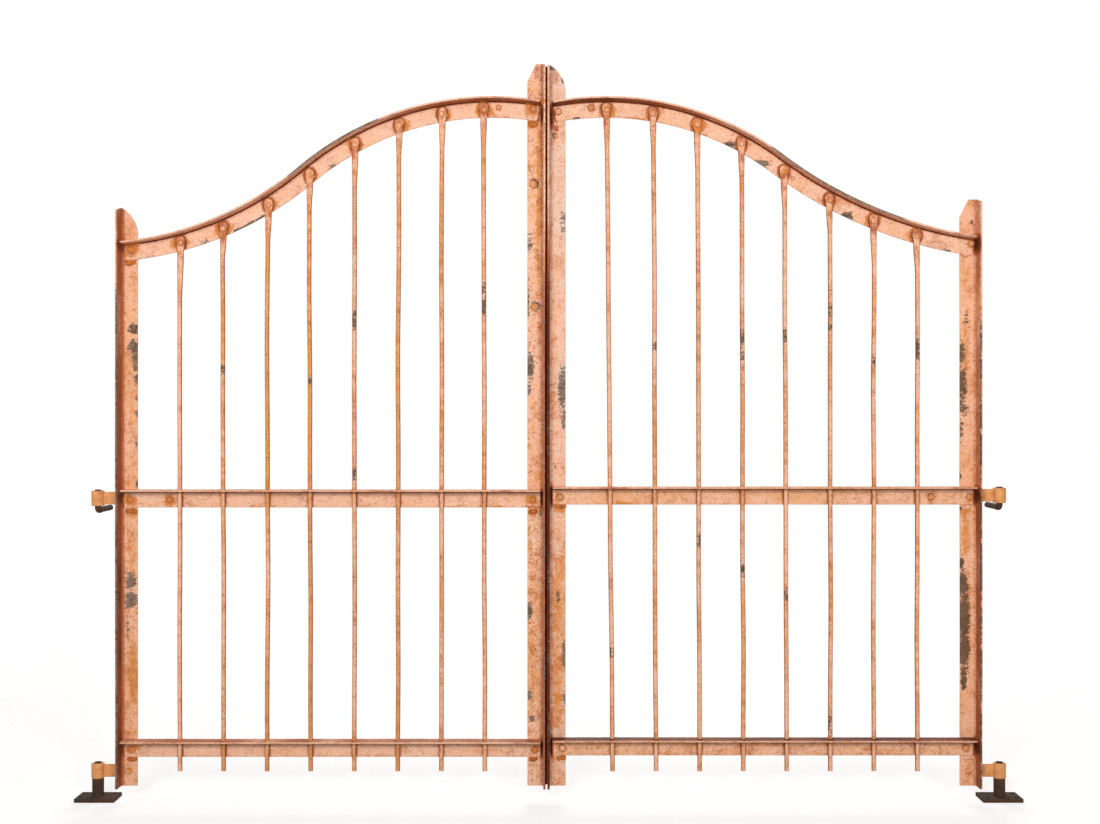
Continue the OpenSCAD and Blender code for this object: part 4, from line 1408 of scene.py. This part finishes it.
def strap_iron(leaf, piece, joggle):
    """Flat strap behind the hinge stile, flared towards its eye and rounded at its end."""
    low, high = leaf.box(piece)
    eye_r, eye_h = -low.x, high.z - low.z
    middle_z = (low.z + high.z) / 2
    start_x = (EYE_BORE_R + eye_r) / 2
    outline = [(start_x, eye_h / 2 - EYE_LIP), (leaf.hinge_edge, STRAP_H / 2), (high.x, STRAP_H / 2),
               (high.x, -STRAP_H / 2), (leaf.hinge_edge, -STRAP_H / 2), (start_x, -eye_h / 2 + EYE_LIP)]
    bm = bmesh.new()
    verts = [bm.verts.new((x, STILE_BACK, middle_z + z)) for x, z in outline]
    bm.faces.new(verts)
    for vert in verts[2:4]:
        round_off(bm, "VERTICES", [vert], STRAP_END_R, 10)
    grown = bmesh.ops.extrude_face_region(bm, geom=bm.faces[:])
    bmesh.ops.translate(bm, vec=(0, STRAP_T, 0), verts=verts_of(grown["geom"]))
    bmesh.ops.recalc_face_normals(bm, faces=bm.faces)
    rims = [e for e in bm.edges if len(e.link_faces) == 2 and e.calc_face_angle() > RIM_ANGLE
            and abs(e.verts[0].co.y - e.verts[1].co.y) < CUT_ROOM]
    round_off(bm, "EDGES", rims, STRAP_EDGE, 3)
    x = start_x + GRID
    while x < high.x - GRID / 2:
        cut_across(bm, (x, 0, 0), (1, 0, 0), False)
        x += GRID / 2
    bend_x = leaf.stile_inner + END_ROOM
    for vert in bm.verts:
        vert.co.y += joggle * smooth(bend_x, bend_x + JOGGLE_RUN, vert.co.x)
    eye_ring(bm, Matrix.Translation((0, 0, middle_z)), EYE_BORE_R, eye_r, eye_h)
    drift = drift_of(leaf.node(piece))
    for vert in bm.verts:
        away = smooth(EYE_BORE_R + BORE_RING, eye_r, math.hypot(vert.co.x, vert.co.y))
        vert.co += noise.noise_vector(vert.co * STRAP_DENTS_A_METRE + drift) * STRAP_DENT * away
    return add_leaf_piece(bm, leaf, piece, strap_rust)


def hook_pin_iron(leaf):
    """Round pin, bent back below the eye, with a thinner tail behind a shoulder."""
    low, high = leaf.box("hook_pin")
    tail_z = low.z + PIN_R
    bm = bmesh.new()
    bmesh.ops.create_circle(bm, segments=PIN_SIDES, radius=PIN_R, matrix=Matrix.Translation((0, 0, high.z)))
    top = bm.edges[:]
    knee = draw_out(bm, top, Vector((0, 0, tail_z + PIN_BEND_R - high.z)), GRID)
    centre = Vector((0, PIN_BEND_R, tail_z + PIN_BEND_R))
    flat = bend_round(bm, knee, centre, math.pi / 2, PIN_BEND_R, PIN_ROW, axis=(1, 0, 0))
    shoulder = draw_out(bm, flat, Vector((0, SHOULDER_Y - PIN_BEND_R, 0)), GRID)
    step = bmesh.ops.extrude_edge_only(bm, edges=shoulder)["geom"]
    narrow = Matrix.Diagonal((TAIL_R / PIN_R, 1, TAIL_R / PIN_R, 1))
    about = Matrix.Translation((0, 0, tail_z)) @ narrow @ Matrix.Translation((0, 0, -tail_z))
    bmesh.ops.transform(bm, matrix=about, verts=verts_of(step))
    end = draw_out(bm, loop_of(step), Vector((0, high.y - SHOULDER_Y, 0)), GRID)
    close_end(bm, top)
    close_end(bm, end)
    for face in [f for f in bm.faces if len(f.verts) == PIN_SIDES]:
        round_off(bm, "EDGES", face.edges[:], PIN_EDGE, 3)
    node = leaf.node("hook_pin")
    return add_piece(bm, f"{node}_iron", leaf.place, "hinge_hardware", dark_iron, node)


def wear_edges(node, finish):
    """Rounds the edges of a plain iron node and gives it its finish."""
    piece = frame["nodes"][node]
    weld = piece.modifiers.new("joined", "WELD")
    weld.merge_threshold = LEVEL_ROOM
    edges = piece.modifiers.new("worn_edges", "BEVEL")
    edges.width = WORN_EDGE
    edges.segments = 2
    edges.limit_method = "ANGLE"
    edges.angle_limit = WORN_ANGLE
    piece.data.materials.clear()
    piece.data.materials.append(finish)


def add_light(name, at, aim, size, power):
    """Soft round lamp that looks at its aim."""
    lamp = bpy.data.lights.new(name, "AREA")
    lamp.shape = "DISK"
    lamp.size = size
    lamp.energy = power
    light = bpy.data.objects.new(name, lamp)
    light.location = at
    light.rotation_euler = (Vector(aim) - Vector(at)).to_track_quat("-Z", "Y").to_euler()
    bpy.context.scene.collection.objects.link(light)


def seen_directly(nodes, links):
    """One for rays that show the backdrop itself: straight, mirrored or passed through."""
    path = nodes.new("ShaderNodeLightPath")
    total = path.outputs["Is Camera Ray"]
    for ray in ("Is Glossy Ray", "Is Transmission Ray"):
        larger = nodes.new("ShaderNodeMath")
        larger.operation = "MAXIMUM"
        links.new(total, larger.inputs[0])
        links.new(path.outputs[ray], larger.inputs[1])
        total = larger.outputs[0]
    return total


def white_world():
    """White backdrop with softer light of its own."""
    world = bpy.data.worlds.new("white_backdrop")
    bpy.context.scene.world = world
    world.use_nodes = True
    nodes, links = world.node_tree.nodes, world.node_tree.links
    strength = nodes.new("ShaderNodeMix")
    links.new(seen_directly(nodes, links), strength.inputs[0])
    strength.inputs[2].default_value = DAYLIGHT
    strength.inputs[3].default_value = 1.0
    background = nodes["Background"]
    background.inputs["Color"].default_value = WHITE
    links.new(strength.outputs[0], background.inputs["Strength"])


def floor_finish(middle):
    """Pale matt grey that shows white to the eye and fades out into the backdrop away from the gate."""
    f = Finish("pale_floor")
    f.nodes.remove(f.shader)
    matt = f.nodes.new("ShaderNodeBsdfDiffuse")
    matt.inputs["Color"].default_value = FLOOR_GREY
    glow = f.nodes.new("ShaderNodeEmission")
    glow.inputs["Color"].default_value = FLOOR_GLOW
    f.set(glow.inputs["Strength"], seen_directly(f.nodes, f.links))
    both = f.nodes.new("ShaderNodeAddShader")
    f.set(both.inputs[0], matt.outputs[0])
    f.set(both.inputs[1], glow.outputs[0])
    backdrop = f.nodes.new("ShaderNodeEmission")
    away = f.nodes.new("ShaderNodeVectorMath")
    away.operation = "DISTANCE"
    f.set(away.inputs[0], f.place)
    away.inputs[1].default_value = (middle.x, middle.y, 0)
    fade = f.nodes.new("ShaderNodeMixShader")
    f.set(fade.inputs[0], f.ramp(away.outputs["Value"], FADE_FROM, FADE_TO))
    f.set(fade.inputs[1], both.outputs[0])
    f.set(fade.inputs[2], backdrop.outputs[0])
    f.set(f.nodes["Material Output"].inputs["Surface"], fade.outputs[0])
    return f.material


def pale_floor(middle):
    """Round pale floor that keeps the shadow and runs out into the white backdrop."""
    bm = bmesh.new()
    bmesh.ops.create_circle(bm, cap_ends=True, segments=FLOOR_SIDES, radius=FLOOR_R,
                            matrix=Matrix.Translation((middle.x, middle.y, -FLOOR_DROP)))
    floor = made_object(bm, "floor")
    floor.data.materials.append(floor_finish(middle))


def set_stage():
    """White backdrop, pale floor, soft light from both sides of the front and from behind, and the camera."""
    scene = bpy.context.scene
    scene.view_settings.view_transform = "Standard"
    middle = (cad_low + cad_high) / 2
    white_world()
    pale_floor(middle)
    for lamp in LAMPS:
        add_light(*lamp)
    camera = bpy.data.objects.new("camera", bpy.data.cameras.new("camera"))
    camera.location = CAMERA_AT
    camera.rotation_euler = (math.pi / 2, 0, 0)
    camera.data.lens = CAMERA_LENS
    camera.data.sensor_width = SENSOR_W
    scene.collection.objects.link(camera)
    scene.camera = camera


def dress_leaf(leaf, hinge_paint, meeting_paint):
    """Makes all pieces of one leaf and the hardware that it hangs on."""
    stile_iron(leaf, "hinge_stile", leaf.side == "left", hinge_paint)
    stile_iron(leaf, "meeting_stile", leaf.side == "right", meeting_paint)
    top_rail_iron(leaf)
    straight_rail_iron(leaf, "mid")
    straight_rail_iron(leaf, "bottom")
    for number in BAR_NUMBERS:
        bar_iron(leaf, number)
    rivets_iron(leaf)
    bolts_iron(leaf)
    rusty_welds_iron(leaf)
    if PAINTED_WELDS[leaf.side]:
        painted_welds_iron(leaf)
    strap_iron(leaf, "upper_strap", RAIL_BACK - STILE_BACK)
    strap_iron(leaf, "heel_strap", 0.0)
    hook_pin_iron(leaf)
    wear_edges(leaf.node("ground_pivot"), dark_iron)


dress_leaf(Leaf("left", LEFT_TURN, LEFT_DIP_R), left_hinge_paint, mottled_paint)
dress_leaf(Leaf("right", RIGHT_TURN, RIGHT_DIP_R), right_hinge_paint, pink_paint)
wear_edges("left_cover_strip", cover_paint)
set_stage()
